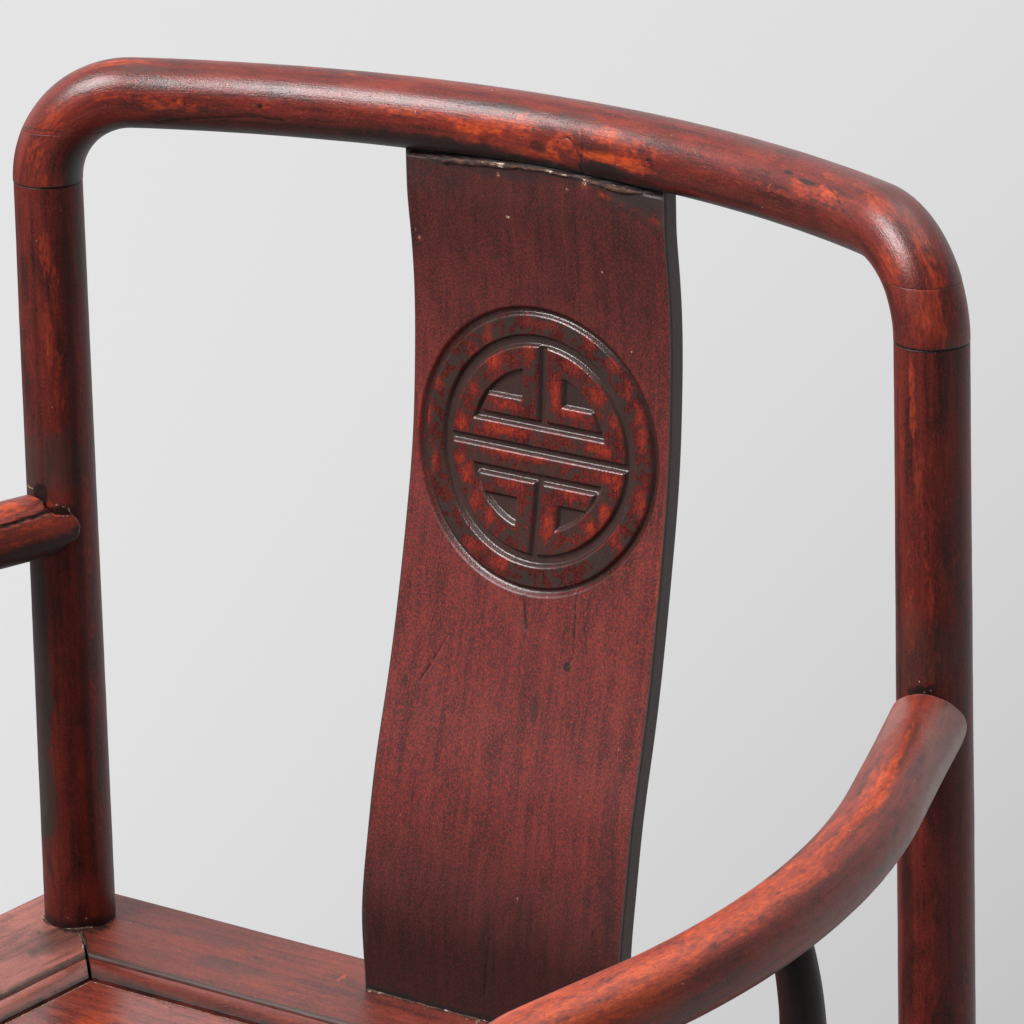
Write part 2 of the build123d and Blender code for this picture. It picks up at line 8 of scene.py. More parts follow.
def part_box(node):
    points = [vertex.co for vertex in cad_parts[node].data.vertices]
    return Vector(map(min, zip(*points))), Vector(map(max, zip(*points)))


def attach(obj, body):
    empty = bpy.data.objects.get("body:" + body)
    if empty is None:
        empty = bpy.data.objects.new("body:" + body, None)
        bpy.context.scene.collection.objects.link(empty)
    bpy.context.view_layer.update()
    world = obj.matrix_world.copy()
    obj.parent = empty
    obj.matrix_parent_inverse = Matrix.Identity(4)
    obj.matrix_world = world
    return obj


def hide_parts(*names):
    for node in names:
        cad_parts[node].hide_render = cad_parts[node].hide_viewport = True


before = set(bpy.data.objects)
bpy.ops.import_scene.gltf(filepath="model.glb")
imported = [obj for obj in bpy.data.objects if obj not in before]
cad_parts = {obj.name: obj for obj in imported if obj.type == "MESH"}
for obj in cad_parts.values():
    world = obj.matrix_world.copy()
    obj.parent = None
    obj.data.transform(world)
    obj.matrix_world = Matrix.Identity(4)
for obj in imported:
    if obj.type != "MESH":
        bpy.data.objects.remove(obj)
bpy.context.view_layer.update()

# Sizes are the part's own, written in millimetres and turned into metres
MM = 0.001

# Places read from the frame
leg_low, leg_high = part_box("rear_leg_right")
rail_low, rail_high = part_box("seat_rail_back")
block_low, block_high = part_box("elbow_block_right")
LEG_RADIUS = (leg_high.y - leg_low.y) / 2
POST_X = leg_low.x + LEG_RADIUS
REAR_Y = leg_low.y + LEG_RADIUS
FRONT_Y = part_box("front_leg_right")[0].y + LEG_RADIUS
SEAT_TOP = rail_high.z
SEAT_BOTTOM = rail_low.z
PANEL_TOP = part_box("seat_panel")[1].z
HALF_WIDTH = rail_high.x
SEAT_BACK_Y = rail_high.y
SEAT_FRONT_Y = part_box("seat_rail_front")[0].y
SEAT_MIDDLE_Y = (SEAT_BACK_Y + SEAT_FRONT_Y) / 2
HALF_DEPTH = (SEAT_BACK_Y - SEAT_FRONT_Y) / 2
POST_TOP = block_low.z
SEAM_HEIGHT = block_high.z

# Posts and legs
POST_RADIUS = 17.9 * MM
POST_TOP_RADIUS = 16.9 * MM
POST_LEAN = 1.9 * MM
POST_TOP_X = POST_X - POST_LEAN
POST_BEND = 500.0 * MM
FOOT_CHAMFER = 1.5 * MM

# Crest rail
CREST_RADIUS = 17.1 * MM
CREST_BOW = 63.7 * MM
CREST_BEND = 44.5 * MM

# Splat
SPLAT_WIDTH = 149.5 * MM
SPLAT_THICKNESS = 10.0 * MM
SPLAT_REACH = 54.4 * MM
SPLAT_HEAD = 416.0 * MM
SPLAT_CURVE = 395.0 * MM
SPLAT_FOOT = 3.0 * MM
SPLAT_CORNER = 1.3 * MM
# How much wider the splat gets down to its foot, and where it starts and ends to do so
SPLAT_SPREAD = 0.026
SPREAD_LOW, SPREAD_HIGH = 40.0 * MM, 280.0 * MM
HEAD_RECESS = 4.0 * MM
JOINT_GAP = 2.5 * MM
# Where the crest crosses the splat's face, above the seat
JOINT_LEVEL = 405.0 * MM
# The splat's curve, as shares of its height and of its reach to the back
SPLAT_CURVE_SHARES = (
    (0.0, 0.037), (0.1, 0.02), (0.19, 0.12), (0.29, 0.275), (0.38, 0.46), (0.48, 0.64),
    (0.58, 0.79), (0.68, 0.915), (0.78, 0.98), (0.87, 1.0), (0.94, 0.97), (1.0, 0.936),
)

# Carved medallion
MEDAL_HEIGHT = 274.3 * MM
MEDAL_OFFSET = -0.7 * MM
MEDAL_SQUASH = 0.984
GROOVE_DROP = 1.1 * MM
MEDAL_RADIUS = 65.9 * MM
MEDAL_TRENCH = 6.4 * MM
RING_INNER = 56.0 * MM
DISC_RADIUS = 50.0 * MM
POCKET_RADIUS = 39.5 * MM
# How far the letter's feet reach on the right, 1, and on the left, -1
FOOT_REACHES = {1: 32.2 * MM, -1: 35.0 * MM}
GROOVE_WIDTH = 4.8 * MM
SPINE_OFFSET = 1.5 * MM
BAR_WIDTH = 8.2 * MM
STEM_WIDTH = 9.0 * MM
FOOT_TAPER = 3.6 * MM
# Depths of the carving at distances into a cut, and of the trench by its reach beyond the medallion
WALL_PROFILE = ((0.0, 0.0), (0.3, 0.12), (1.1, 0.85), (1.6, 2.0), (2.0, 2.3))
TRENCH_PROFILE = (
    (-1.0, 0.0), (-0.7, 0.1), (0.2, 0.95), (0.8, 2.1), (1.8, 2.2), (2.6, 1.7), (4.0, 0.2), (4.4, 0.0),
)
WALL_START = 0.6 * MM

# Arms and their supports
ARM_RADIUS = 17.3 * MM
ARM_HEIGHT = 209.6 * MM
# How far up the rear post the arm joins it
ARM_SHARE = ARM_HEIGHT / (POST_TOP - SEAT_TOP)
ARM_DROP_SHARE = 0.09
ARM_CORNER_SHARE = 0.504
ARM_CORNER_OUT = 71.7 * MM
ARM_BEND_SHARE = 0.553
ARM_FRONT_OUT = 22.0 * MM
ARM_ELBOW = 36.0 * MM
ARM_SOCKET = 7.0 * MM
ARM_COPE_GAP = 0.3 * MM
ARM_LIP = 1.0 * MM
# On the right, 1, and on the left, -1: how much rounder the rear end's sides are, how far the rear
# end moves and the bend rises, and how much the rear end swells and where that fades out
ARM_CORNERS = {1: 4.9 * MM, -1: 0.4 * MM}
ARM_CORNER_POWER = 1.6
ARM_SHIFTS = {1: (-0.9, 0.0, -1.6), -1: (-3.2, 0.0, 0.8)}
ARM_LIFTS = {1: 0.0, -1: 9.0}
ARM_SWELLS = {1: (0.5, 0, 60), -1: (-1.1, 90, 220)}
SUPPORT_BACK = 186.0 * MM
SUPPORT_BASE_BACK = 172.0 * MM
SUPPORT_BASE_INSET = 30.0 * MM
SUPPORT_TOP_RADIUS = 8.8 * MM
SUPPORT_BASE_RADIUS = 13.8 * MM
SUPPORT_BOW = 9.0 * MM
SUPPORT_BOW_POWER = 6
SUPPORT_SUNK = 4.0 * MM
# Where the support starts, within the arm
SUPPORT_START = ARM_RADIUS * 0.6
# Painted shade on the support's top under the arm, down to where it ends
SUPPORT_SHADE = (45.0 * MM, 120.0 * MM)

# Seat frame and panel
RAIL_WIDTH = 84.2 * MM
RAIL_FLAT = 70.9 * MM
EDGE_ROUND = 2.2 * MM
EDGE_LIP = 11.0 * MM
EDGE_STEP = 1.8 * MM
EDGE_UNDERCUT = 12.0 * MM
ARRIS = 1.12 * MM
QUIRK_WIDTH = 2.4 * MM
QUIRK_DEPTH = 2.6 * MM
LIP_DROP = 1.1 * MM
CURVE_DROP = 4.9 * MM
CURVE_POWER = 1.9
PANEL_GAP = 0.9 * MM
PANEL_THICKNESS = 12.0 * MM
TONGUE_DROP = 3.0 * MM
TONGUE_THICKNESS = 6.0 * MM
TONGUE_LENGTH = 1.7 * MM
MITRE_GAP = 0.12 * MM
MITRE_OPENING = 0.9 * MM
# Where a mitre starts to open, and at which depths it closes again
MITRE_START = 40.0 * MM
MITRE_DEPTHS = (5.0 * MM, 9.0 * MM)

# Stretchers: a section is a width, a height and a corner
FOOT_RAIL_TOP = 100.0 * MM
FOOT_RAIL_SECTION = (35.0 * MM, 22.0 * MM, 6.0 * MM)
STRETCHER_SECTION = (21.0 * MM, 28.0 * MM, 8.0 * MM)
SIDE_STRETCHER_HEIGHT = 124.0 * MM
BACK_STRETCHER_HEIGHT = 160.0 * MM
STRETCHER_GAP = 0.2 * MM
STRETCHER_ROUND = 0.6 * MM

# Aprons
APRON_THICKNESS = 9.0 * MM
APRON_SET = 4.0 * MM
APRON_TONGUE = 5.0 * MM
APRON_HEIGHT = 42.0 * MM
APRON_HEAD_DROP = 78.0 * MM
APRON_HEAD_WIDTH = 24.0 * MM
APRON_CURVE = 22.0 * MM
FRONT_HEAD_DROP = 72.0 * MM
FRONT_STRIP_WIDTH = 20.0 * MM
FRONT_CURVE = 24.0 * MM
FOOT_APRON_HEIGHT = 24.0 * MM
APRON_BEVEL = 0.9 * MM

# How finely the meshes are divided
BAR_SIDES = 144
SUPPORT_SIDES = 96
STRETCHER_SIDES = 72
BEAD_SIDES = 20
BAR_STEP = 1.1 * MM
CREST_STEP = 0.8 * MM
RAIL_STEP = 1.5 * MM
COARSE_STEP = 3.0 * MM
CARVING_STEP = 0.5 * MM
SPLAT_STEP = 0.8 * MM
BEAD_STEP = 0.7 * MM
PANEL_STEP = 1.6 * MM

# How uneven the surfaces are and how large their lumps, and how round the bars' ends
BAR_UNEVEN, BAR_LUMPS = 0.3 * MM, 55.0 * MM
SPLAT_UNEVEN, SPLAT_LUMPS = 0.35 * MM, 60.0 * MM
RAIL_UNEVEN, RAIL_LUMPS = 0.35 * MM, 70.0 * MM
RAIL_ROUND = 0.4 * MM
PANEL_UNEVEN, PANEL_LUMPS = 0.5 * MM, 80.0 * MM
STRETCHER_UNEVEN, STRETCHER_LUMPS = 0.02, 50.0 * MM
BEAD_LUMPS = 4.0 * MM
BAR_ROUND = 0.5 * MM
SOFT_ROUND = 0.6 * MM
CRISP_ROUND = 0.3 * MM

UP = np.array((0.0, 0.0, 1.0))
RIGHT = np.array((1.0, 0.0, 0.0))
BACK = np.array((0.0, 1.0, 0.0))


# Numbers

def tone(red, green, blue):
    """A colour given as it is seen on a screen, from 0 to 255, in the renderer's own values."""
    def channel(value):
        share = value / 255
        return share / 12.92 if share <= 0.04045 else ((share + 0.055) / 1.055) ** 2.4
    return channel(red), channel(green), channel(blue), 1.0


def ease(value, low=0.0, high=1.0):
    """0 below low, 1 above high and a smooth S between."""
    share = np.clip((value - low) / (high - low), 0, 1)
    return share * share * (3 - 2 * share)


def hump(value, centre, width):
    """1 at the centre, and less and less on both sides."""
    return np.exp(-((value - centre) / width) ** 2)


NOISE_CELLS = 16


def blobs(points, size, seed):
    """Smooth noise from 0 to 1 at each point, with blobs of about the given size."""
    table = np.random.default_rng(seed).random((NOISE_CELLS,) * 3)
    place = np.asarray(points) / size
    cell = np.floor(place).astype(int)
    part = ease(place - cell)
    total = 0
    for corner in np.ndindex(2, 2, 2):
        index = (cell + corner) % NOISE_CELLS
        weight = np.prod(np.where(corner, part, 1 - part), axis=-1)
        total = total + weight * table[index[..., 0], index[..., 1], index[..., 2]]
    return total


def ragged(points, size, seed):
    """Noise from 0 to 1 with finer blobs added to the coarse ones."""
    coarse = blobs(points, size, seed)
    middle = blobs(points, size / 2.3, seed + 1)
    fine = blobs(points, size / 5.1, seed + 2)
    return (coarse * 4 + middle * 2 + fine) / 7


def unit(vector):
    """The same direction at length 1."""
    vector = np.asarray(vector, float)
    return vector / np.linalg.norm(vector, axis=-1, keepdims=True)


def mixed(low, high, share):
    """A value some way from one to another."""
    return low + (high - low) * share


def at_hand(hand):
    """What turns a place on the right into one on the right, 1, or on the left, -1."""
    return np.array((hand, 1.0, 1.0))


def ring_angles(sides):
    """Angles round a bar."""
    return np.arange(sides) * 2 * math.pi / sides


# Paths

class Path:
    """A line in space with two side axes along it, read at any distance from its start."""

    def __init__(self, points, side):
        self.points = np.asarray(points, float)
        steps = np.linalg.norm(np.diff(self.points, axis=0), axis=1)
        self.marks = np.concatenate(([0.0], np.cumsum(steps)))
        self.length = self.marks[-1]
        self.tangents = unit(np.gradient(self.points, axis=0))
        sides = []
        for tangent in self.tangents:
            side = unit(side - tangent * np.dot(side, tangent))
            sides.append(side)
        self.sides = np.array(sides)
        self.others = np.cross(self.tangents, self.sides)

    def read(self, table, distance):
        """One of the path's tables at the given distances."""
        return np.stack(
            [np.interp(distance, self.marks, table[:, axis]) for axis in range(3)], axis=-1
        )

    def surface(self, distance, angle, radius):
        """Points round the path at distances, angles from the side axis, and radii."""
        inside = np.clip(distance, 0, self.length)
        centre = self.read(self.points, inside)
        centre = centre + self.read(self.tangents, inside) * (distance - inside)[..., None]
        across = np.cos(angle)[..., None] * self.read(self.sides, inside)
        along = np.sin(angle)[..., None] * self.read(self.others, inside)
        return centre + radius[..., None] * (across + along)


def line_points(start, end, step):
    """Points along a straight run, without its last one."""
    count = max(2, int(np.linalg.norm(np.subtract(end, start)) / step))
    shares = np.arange(count)[:, None] / count
    return np.asarray(start) + shares * np.subtract(end, start)


def rounded_route(points, radii, step):
    """Straight runs between points, with an arc of the given radius at each corner."""
    points = [np.asarray(point, float) for point in points]
    made = []
    start = points[0]
    for corner, after, radius in zip(points[1:-1], points[2:], radii):
        before = unit(corner - start)
        onward = unit(after - corner)
        half = math.acos(np.clip(np.dot(before, onward), -1, 1)) / 2
        reach = radius * math.tan(half)
        centre = corner + unit(onward - before) * radius / math.cos(half)
        first = corner - before * reach
        made.append(line_points(start, first, step))
        outward = unit(first - centre)
        count = max(4, int(2 * half * radius / step))
        turns = np.arange(count)[:, None] * (2 * half / count)
        made.append(centre + radius * (np.cos(turns) * outward + np.sin(turns) * before))
        start = corner + onward * reach
    made.append(line_points(start, points[-1], step))
    made.append(points[-1][None])
    return np.concatenate(made)


# Meshes

# Masks that the meshes carry: rubbed through, dirt and painted shadow, chalky, grey and painted sheen,
# glossy, age and painted shade
MASKS = ("wear", "grime", "pale", "ash", "gloss", "shade")
# How large the unevenness of painted marks is, how far lines wander and where stripes fade out
RAGGED_SIZE, FINE_SIZE = 9.0 * MM, 2.2 * MM
LINE_SWAY = 1.6 * MM
STRIPE_FADE = 25
# How far apart the grain of one bar and the next lie, for each step of their seeds
GRAIN_SHIFT = (0.37, 0.61, 0.83)
# Where the rings near a rounded end stand, as shares of its rounding
END_RINGS = (0.0, 0.03, 0.12, 0.28, 0.5, 0.75, 1.0, 1.5)


class Paint:
    """Masks over a surface, painted at places along and across it."""

    def __init__(self, along, across, points, seed, across_unit=MM, lap=None):
        self.along, self.across = along, across
        self.across_unit, self.lap = across_unit, lap
        self.ragged = ragged(points, RAGGED_SIZE, seed + 3) - 0.5
        self.fine = blobs(points, FINE_SIZE, seed + 8) - 0.5
        self.masks = {mask: np.zeros(along.shape) for mask in MASKS}

    def offset(self, along, across):
        """How far the surface's places lie from one place, along and across."""
        across = self.across - across * self.across_unit
        if self.lap:
            across = (across + self.lap / 2) % self.lap - self.lap / 2
        return self.along - along * MM, across

    def spot(self, along, across, length, width, soft=0.55):
        """An uneven oval, from 0 to 1."""
        run, swing = self.offset(along, across)
        reach = np.hypot(run / (length / 2 * MM), swing / (width / 2 * MM))
        reach = reach + 0.8 * self.ragged + 0.35 * self.fine
        return 1 - ease(reach, 1 - soft, 1 + soft)

    def line(self, width, places):
        """A thin wandering line through places, from 0 to 1."""
        made = np.zeros(self.along.shape)
        for start, end in zip(places, places[1:]):
            run, swing = self.offset(*start)
            swing = swing + LINE_SWAY * self.ragged
            step = (end[0] - start[0]) * MM, (end[1] - start[1]) * self.across_unit
            share = (run * step[0] + swing * step[1]) / (step[0] ** 2 + step[1] ** 2)
            share = np.clip(share, 0, 1)
            away = np.hypot(run - share * step[0], swing - share * step[1])
            made = np.maximum(made, 1 - ease(away, width * 0.3 * MM, width * MM))
        return made * np.clip(0.85 + 1.1 * self.fine, 0, 1)

    def stripe(self, across, width, low, high):
        """A stripe along the piece between two distances, from 0 to 1."""
        _, swing = self.offset(0, across)
        reach = np.abs(swing) / (width / 2 * MM) + 0.9 * self.ragged
        inside = ease(self.along, low * MM, (low + STRIPE_FADE) * MM)
        inside = inside * (1 - ease(self.along, (high - STRIPE_FADE) * MM, high * MM))
        return inside * (1 - ease(reach, 0.2, 1.3))

    def add(self, mask, values):
        """Lays values over a mask where they are higher."""
        self.masks[mask] = np.maximum(self.masks[mask], values)

    def mark(self, table):
        """Adds a table's marks, and returns how deep its cracks cut.

        Each of its keys is a kind of mark and a mask, and each mark starts with its strength. Then
        a spot has a place along and across, a length and a width; a stripe a place across, a width
        and two ends; a line a width and its places; and a crack a line's width, the width and depth
        of its cut, and its places. All are millimetres, but across a bar they are degrees.
        """
        cut = np.zeros(self.along.shape)
        draw = {"spot": self.spot, "stripe": self.stripe, "line": self.line, "crack": self.line}
        for key, rows in table.items():
            kind, mask = key.split()
            for strength, *sizes in rows:
                if kind == "crack":
                    width, cut_width, depth, places = sizes
                    cut += depth * MM * self.line(cut_width, places)
                    sizes = width, places
                self.add(mask, strength * draw[kind](*sizes))
        return cut

    def band(self, mask, edge, reach, strength=1.0):
        """Adds a fading band that starts at one edge to a mask."""
        away = np.abs(self.along - edge * MM) + reach * MM * self.ragged
        self.add(mask, strength * (1 - ease(away, 0, reach * MM)))


def add_object(name, data):
    """A new object in the scene."""
    made = bpy.data.objects.new(name, data)
    bpy.context.scene.collection.objects.link(made)
    return made


def prepare(mesh, grain, masks, sharp):
    """Smooth shading, and the places and masks that the mesh's finish reads."""
    mesh.polygons.foreach_set("use_smooth", np.ones(len(mesh.polygons), bool))
    if sharp is not None:
        mesh.set_sharp_from_angle(angle=math.radians(sharp))
    layer = mesh.attributes.new("grain", "FLOAT_VECTOR", "POINT")
    layer.data.foreach_set("vector", grain.astype(np.float32).ravel())
    for mask in MASKS:
        values = np.broadcast_to(np.ravel(masks.get(mask, 0.0)), len(grain))
        layer = mesh.attributes.new(mask, "FLOAT", "POINT")
        layer.data.foreach_set("value", values.astype(np.float32))
    mesh.update()


def skin(name, rows, grain, masks, sharp=None):
    """A closed mesh through rings of points, with its grain places and painted masks."""
    count, sides = rows.shape[:2]
    first = np.arange(count - 1)[:, None] * sides + np.arange(sides)[None]
    second = np.arange(count - 1)[:, None] * sides + (np.arange(sides)[None] + 1) % sides
    quads = np.stack((first, second, second + sides, first + sides), -1).reshape(-1, 4)
    faces = quads.tolist()
    faces.append(list(range(sides))[::-1])
    faces.append(list(range((count - 1) * sides, count * sides)))
    mesh = bpy.data.meshes.new(name)
    mesh.from_pydata(rows.reshape(-1, 3).tolist(), [], faces)
    prepare(mesh, grain.reshape(-1, 3), masks, sharp)
    return add_object(name, mesh)


def dress(piece, material, slot, *nodes):
    """The piece's finish and body, and hiding of the nodes that it stands for; the slot is not used."""
    piece.data.materials.append(material)
    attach(piece, "root")
    if nodes:
        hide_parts(*nodes)
    return piece


def end_dip(distance, size):
    """How far a bar's surface falls in at a distance from its rounded end."""
    inside = np.clip(size - distance, 0, size)
    return size - np.sqrt(size * size - inside * inside)


def end_places(length, step, low_round, high_round):
    """Shares along a bar, closer together near its rounded ends."""
    near = np.array(END_RINGS)
    low = near * low_round
    high = length - near[::-1] * high_round
    middle = np.linspace(low[-1], high[0], max(2, int((high[0] - low[-1]) / step)))
    return np.concatenate((low[:-1], middle, high[1:])) / length


class Bar:
    """A round bar along a path, with rounded ends that may follow another bar's surface."""

    def __init__(self, path, radius, seed, low=0.0, high=None, rounds=(BAR_ROUND, BAR_ROUND),
                 step=BAR_STEP, sides=BAR_SIDES, uneven=BAR_UNEVEN, lumps=BAR_LUMPS, marks=None):
        angle = ring_angles(sides)
        low = np.broadcast_to(low, angle.shape)
        high = np.broadcast_to(path.length if high is None else high, angle.shape)
        longest = [float(np.max(size)) for size in rounds]
        shares = end_places(float(np.mean(high - low)), step, *longest)[:, None]
        self.path = path
        self.distance = low + (high - low) * shares
        self.angle = np.broadcast_to(angle, self.distance.shape)
        plain = radius(self.distance) if callable(radius) else radius
        plain = np.broadcast_to(plain, self.distance.shape)
        middle = path.surface(self.distance, self.angle, plain)
        round_once = 2 * math.pi * float(np.mean(plain))
        self.paint = Paint(
            self.distance, self.angle / (2 * math.pi) * round_once, middle, seed,
            across_unit=round_once / 360, lap=round_once,
        )
        dip = end_dip(self.distance - low, rounds[0]) + end_dip(high - self.distance, rounds[1])
        worn = uneven * ragged(middle, lumps, seed) + uneven / 4 * blobs(middle, lumps / 9, seed + 7)
        self.radius = plain - dip - worn - self.paint.mark(marks or {})
        self.points = path.surface(self.distance, self.angle, self.radius)
        self.grain = np.stack(
            (self.radius * np.cos(self.angle), self.radius * np.sin(self.angle), self.distance), -1
        ) + seed * np.array(GRAIN_SHIFT)

    def make(self, name, material, slot, *nodes, low_core=()):
        """The finished object, whose low end may be hollowed by rings nearer its axis."""
        rings = [self.path.surface(*ring) for ring in low_core]

        def with_core(rows):
            """Rows with the first one repeated for each ring of the core."""
            return np.concatenate((*[rows[:1]] * len(rings), rows))

        points = np.concatenate((*(ring[None] for ring in rings), self.points))
        masks = {mask: with_core(values) for mask, values in self.paint.masks.items()}
        piece = skin(name, points, with_core(self.grain), masks, sharp=50)
        return dress(piece, material, slot, *nodes)


# Materials

class Nodes:
    """Short ways to write the nodes of a material or of the world."""

    def __init__(self, owner):
        owner.use_nodes = True
        self.owner = owner
        self.tree = owner.node_tree
        self.tree.nodes.clear()

    def add(self, kind, inputs=None, **settings):
        """The outputs of a new node with its settings, and its inputs set or linked."""
        made = self.tree.nodes.new(f"ShaderNode{kind}")
        for key, value in settings.items():
            setattr(made, key, value)
        for key, value in (inputs or {}).items():
            if isinstance(value, bpy.types.NodeSocket):
                self.tree.links.new(value, made.inputs[key])
            else:
                made.inputs[key].default_value = value
        return made.outputs

    def mask(self, name):
        """A mask that the mesh carries."""
        return self.add("Attribute", attribute_name=name)["Fac"]

    def grain(self):
        """The places along the grain that the mesh carries."""
        return self.add("Attribute", attribute_name="grain")["Vector"]

    def noise(self, place, across, along, detail, rough, warp=0.0):
        """Noise from 0 to 1 at places scaled by one number across the grain and another along it."""
        scale = (across, across, along)
        place = self.add("VectorMath", {0: place, 1: scale}, operation="MULTIPLY")[0]
        inputs = {"Vector": place, "Scale": 1.0, "Detail": detail, "Roughness": rough, "Distortion": warp}
        return self.add("TexNoise", inputs)["Fac"]

    def toward(self, place, side):
        """How far places or directions lie to one side."""
        return self.add("VectorMath", {0: place, 1: side}, operation="DOT_PRODUCT")["Value"]

    def math(self, operation, *values):
        """One operation on numbers."""
        return self.add("Math", dict(enumerate(values)), operation=operation)[0]

    def times(self, first, second):
        """A product."""
        return self.math("MULTIPLY", first, second)

    def total(self, start, *parts):
        """A start value plus values times their weights."""
        for value, weight in parts:
            start = self.math("MULTIPLY_ADD", value, weight, start)
        return start

    def span(self, value, low, high, new_low=0.0, new_high=1.0):
        """A range of values turned smoothly into another."""
        inputs = {"Value": value, "From Min": low, "From Max": high, "To Min": new_low, "To Max": new_high}
        return self.add("MapRange", inputs, interpolation_type="SMOOTHSTEP")["Result"]

    def mix(self, share, first, second, blend="MIX"):
        """Two colours mixed by a share."""
        return self.add("Mix", {0: share, 6: first, 7: second}, data_type="RGBA", blend_type=blend)[2]

    def coats(self, base, *layers):
        """A colour under coats of others, each with its share."""
        for share, colour in layers:
            base = self.mix(share, base, colour)
        return base

    def bump(self, height, depth, strength=1.0):
        """A bump whose full height is the given depth."""
        return self.add("Bump", {"Height": height, "Distance": depth, "Strength": strength})["Normal"]

    def rays(self):
        """Whether a ray comes from the camera, from a mirroring surface, and from either."""
        paths = self.add("LightPath")
        camera, mirror = paths["Is Camera Ray"], paths["Is Glossy Ray"]
        return camera, mirror, self.math("MAXIMUM", camera, mirror)

    def close(self, **inputs):
        """The material itself, with a shader that has the given inputs."""
        names = {key.replace("_", " "): value for key, value in inputs.items()}
        shader = self.add("BsdfPrincipled", names)
        self.add("OutputMaterial", {"Surface": shader[0]})
        return self.owner


# Near-black for dirt and pits, and for painted shadow
DIRT_AND_SHADOW_TONE = tone(24, 16, 15)
# Tint that darkens colours: partly age, partly painted shade and reflection
AGE_AND_SHADE_TINT = tone(142, 152, 152)
PALE_ASH = tone(80, 87, 83)
FILLER = tone(104, 64, 44)
CHALK = tone(212, 194, 174)
FILLER_DARK = tone(38, 25, 21)
FILLER_BROWN = tone(92, 57, 41)
LACQUER_BUMP = 0.32 * MM
FILLER_BUMP = 0.4 * MM
# The lacquer's noises: scales across and along the grain, detail, roughness and warp
NOISES = {
    "clouds": (95, 30, 6, 0.66, 0.5), "streaks": (330, 12, 3, 0.6, 0.2), "fibres": (1300, 60, 2, 0.6),
    "grit": (1250, 900, 2, 0.7), "rubs": (170, 62, 5, 0.68, 0.5), "pits": (620, 260, 3, 0.6),
    "specks": (560, 430, 1, 0.4),
}


def lacquer(name, tones, wear, gloss, shine=0.5, speckle=0.34, ash=(54, 48, 44), sheen=0.0, place=None):
    """Worn brown-red lacquer over wood: clouds, streaks, fibres, rubbed patches and dirt, with the painted
    shadow, sheen and shading that its masks carry.
    """
    f = Nodes(bpy.data.materials.new(name))
    grain = place(f) if place else f.grain()
    clouds, streaks, fibres, grit, rubs, pits, specks = (
        f.noise(grain, *sizes) for sizes in NOISES.values()
    )
    masks = {mask: f.mask(mask) for mask in MASKS}
    dark, plain, warm, worn, bright = (tone(*values) for values in tones)

    depth = f.total(0.0, (clouds, 0.62), (streaks, 0.38))
    mottled = f.times(masks["wear"], f.total(0.5, (pits, 0.9)))
    rubbed = (wear - 0.5) * 0.3 - 0.5
    level = f.total(rubbed, (rubs, 1.0), (mottled, 0.42), (grit, 0.4), (pits, 0.6))
    pitted = f.span(pits, 0.67, 0.72)
    dust = f.span(specks, 0.8, 0.84, 0.0, 0.5)
    base = f.coats(
        dark,
        (f.span(depth, 0.38, 0.53), plain),
        (f.span(depth, 0.5, 0.64), warm),
        (f.span(level, 0.64, 0.88, 0.0, 0.9), worn),
        (f.span(level, 0.86, 1.1), bright),
        (f.span(fibres, 0.5, 0.68, 0.0, 0.34), dark),
        (f.span(grit, 0.5, 0.64, 0.0, speckle), dark),
        (f.span(grit, 0.5, 0.36, 0.0, speckle * 0.9), worn),
        (f.times(pitted, 0.75), DIRT_AND_SHADOW_TONE),
        (dust, CHALK),
    )
    # Darker by its mask: partly age, partly painted shade and reflection
    base = f.mix(masks["shade"], base, AGE_AND_SHADE_TINT, "MULTIPLY")

    edge = f.total(0.45, (rubs, 0.6), (grit, 0.5))
    ash_and_sheen_share = f.span(f.times(masks["ash"], edge), 0.12, 0.7)
    ash_and_sheen_tone = f.mix(f.span(masks["ash"], 1.1, 1.8), tone(*ash), PALE_ASH)
    dirt_and_shadow_share = f.span(f.times(masks["grime"], edge), 0.1, 0.8)
    chalky = f.span(f.times(masks["pale"], edge), 0.35, 0.75)
    # Deeper darkening, dirt with painted shadow, grey ash with a painted sheen, and chalky filler
    base = f.coats(
        base,
        (f.span(masks["shade"], 0.8, 1.6, 0.0, 0.8), DIRT_AND_SHADOW_TONE),
        (f.times(ash_and_sheen_share, f.span(grit, 0.6, 0.42, 0.62, 0.94)), ash_and_sheen_tone),
        (f.times(dirt_and_shadow_share, 0.93), DIRT_AND_SHADOW_TONE),
        (chalky, FILLER),
        (f.times(chalky, f.span(grit, 0.52, 0.62)), CHALK),
    )

    rough = f.total(
        gloss - 0.06, (clouds, 0.12), (grit, 0.08), (masks["gloss"], -0.22), (chalky, 0.3)
    )
    height = f.total(
        0.0, (grit, 0.45), (fibres, 0.3), (clouds, 0.9), (pitted, -0.5), (dust, 0.3), (chalky, 0.4)
    )
    return f.close(
        Base_Color=base, Roughness=rough, Normal=f.bump(height, LACQUER_BUMP, 0.7),
        Specular_IOR_Level=shine, Sheen_Weight=sheen, Sheen_Roughness=0.35,
    )


def filler_material():
    """Old brown filler in the joints, with chalky specks."""
    f = Nodes(bpy.data.materials.new("filler"))
    grain = f.grain()
    lumps = f.noise(grain, 420, 300, 4, 0.6)
    chalk = f.noise(grain, 300, 150, 3, 0.6)
    base = f.coats(
        FILLER_DARK, (f.span(lumps, 0.35, 0.65), FILLER_BROWN), (f.span(chalk, 0.59, 0.71), CHALK)
    )
    return f.close(Base_Color=base, Roughness=0.75, Normal=f.bump(lumps, FILLER_BUMP))


# Camera, light and floor

# The camera's place in metres, its angles in degrees, and its lens and sensor in millimetres
CAMERA_PLACE = (1.72048, -2.09533, 1.70667)
CAMERA_YAW = 36.9036
CAMERA_PITCH = 18.2856
CAMERA_ROLL = 1.4200
CAMERA_LENS = 226.32
CAMERA_SENSOR = 36.0
CAMERA_REACH = 60.0


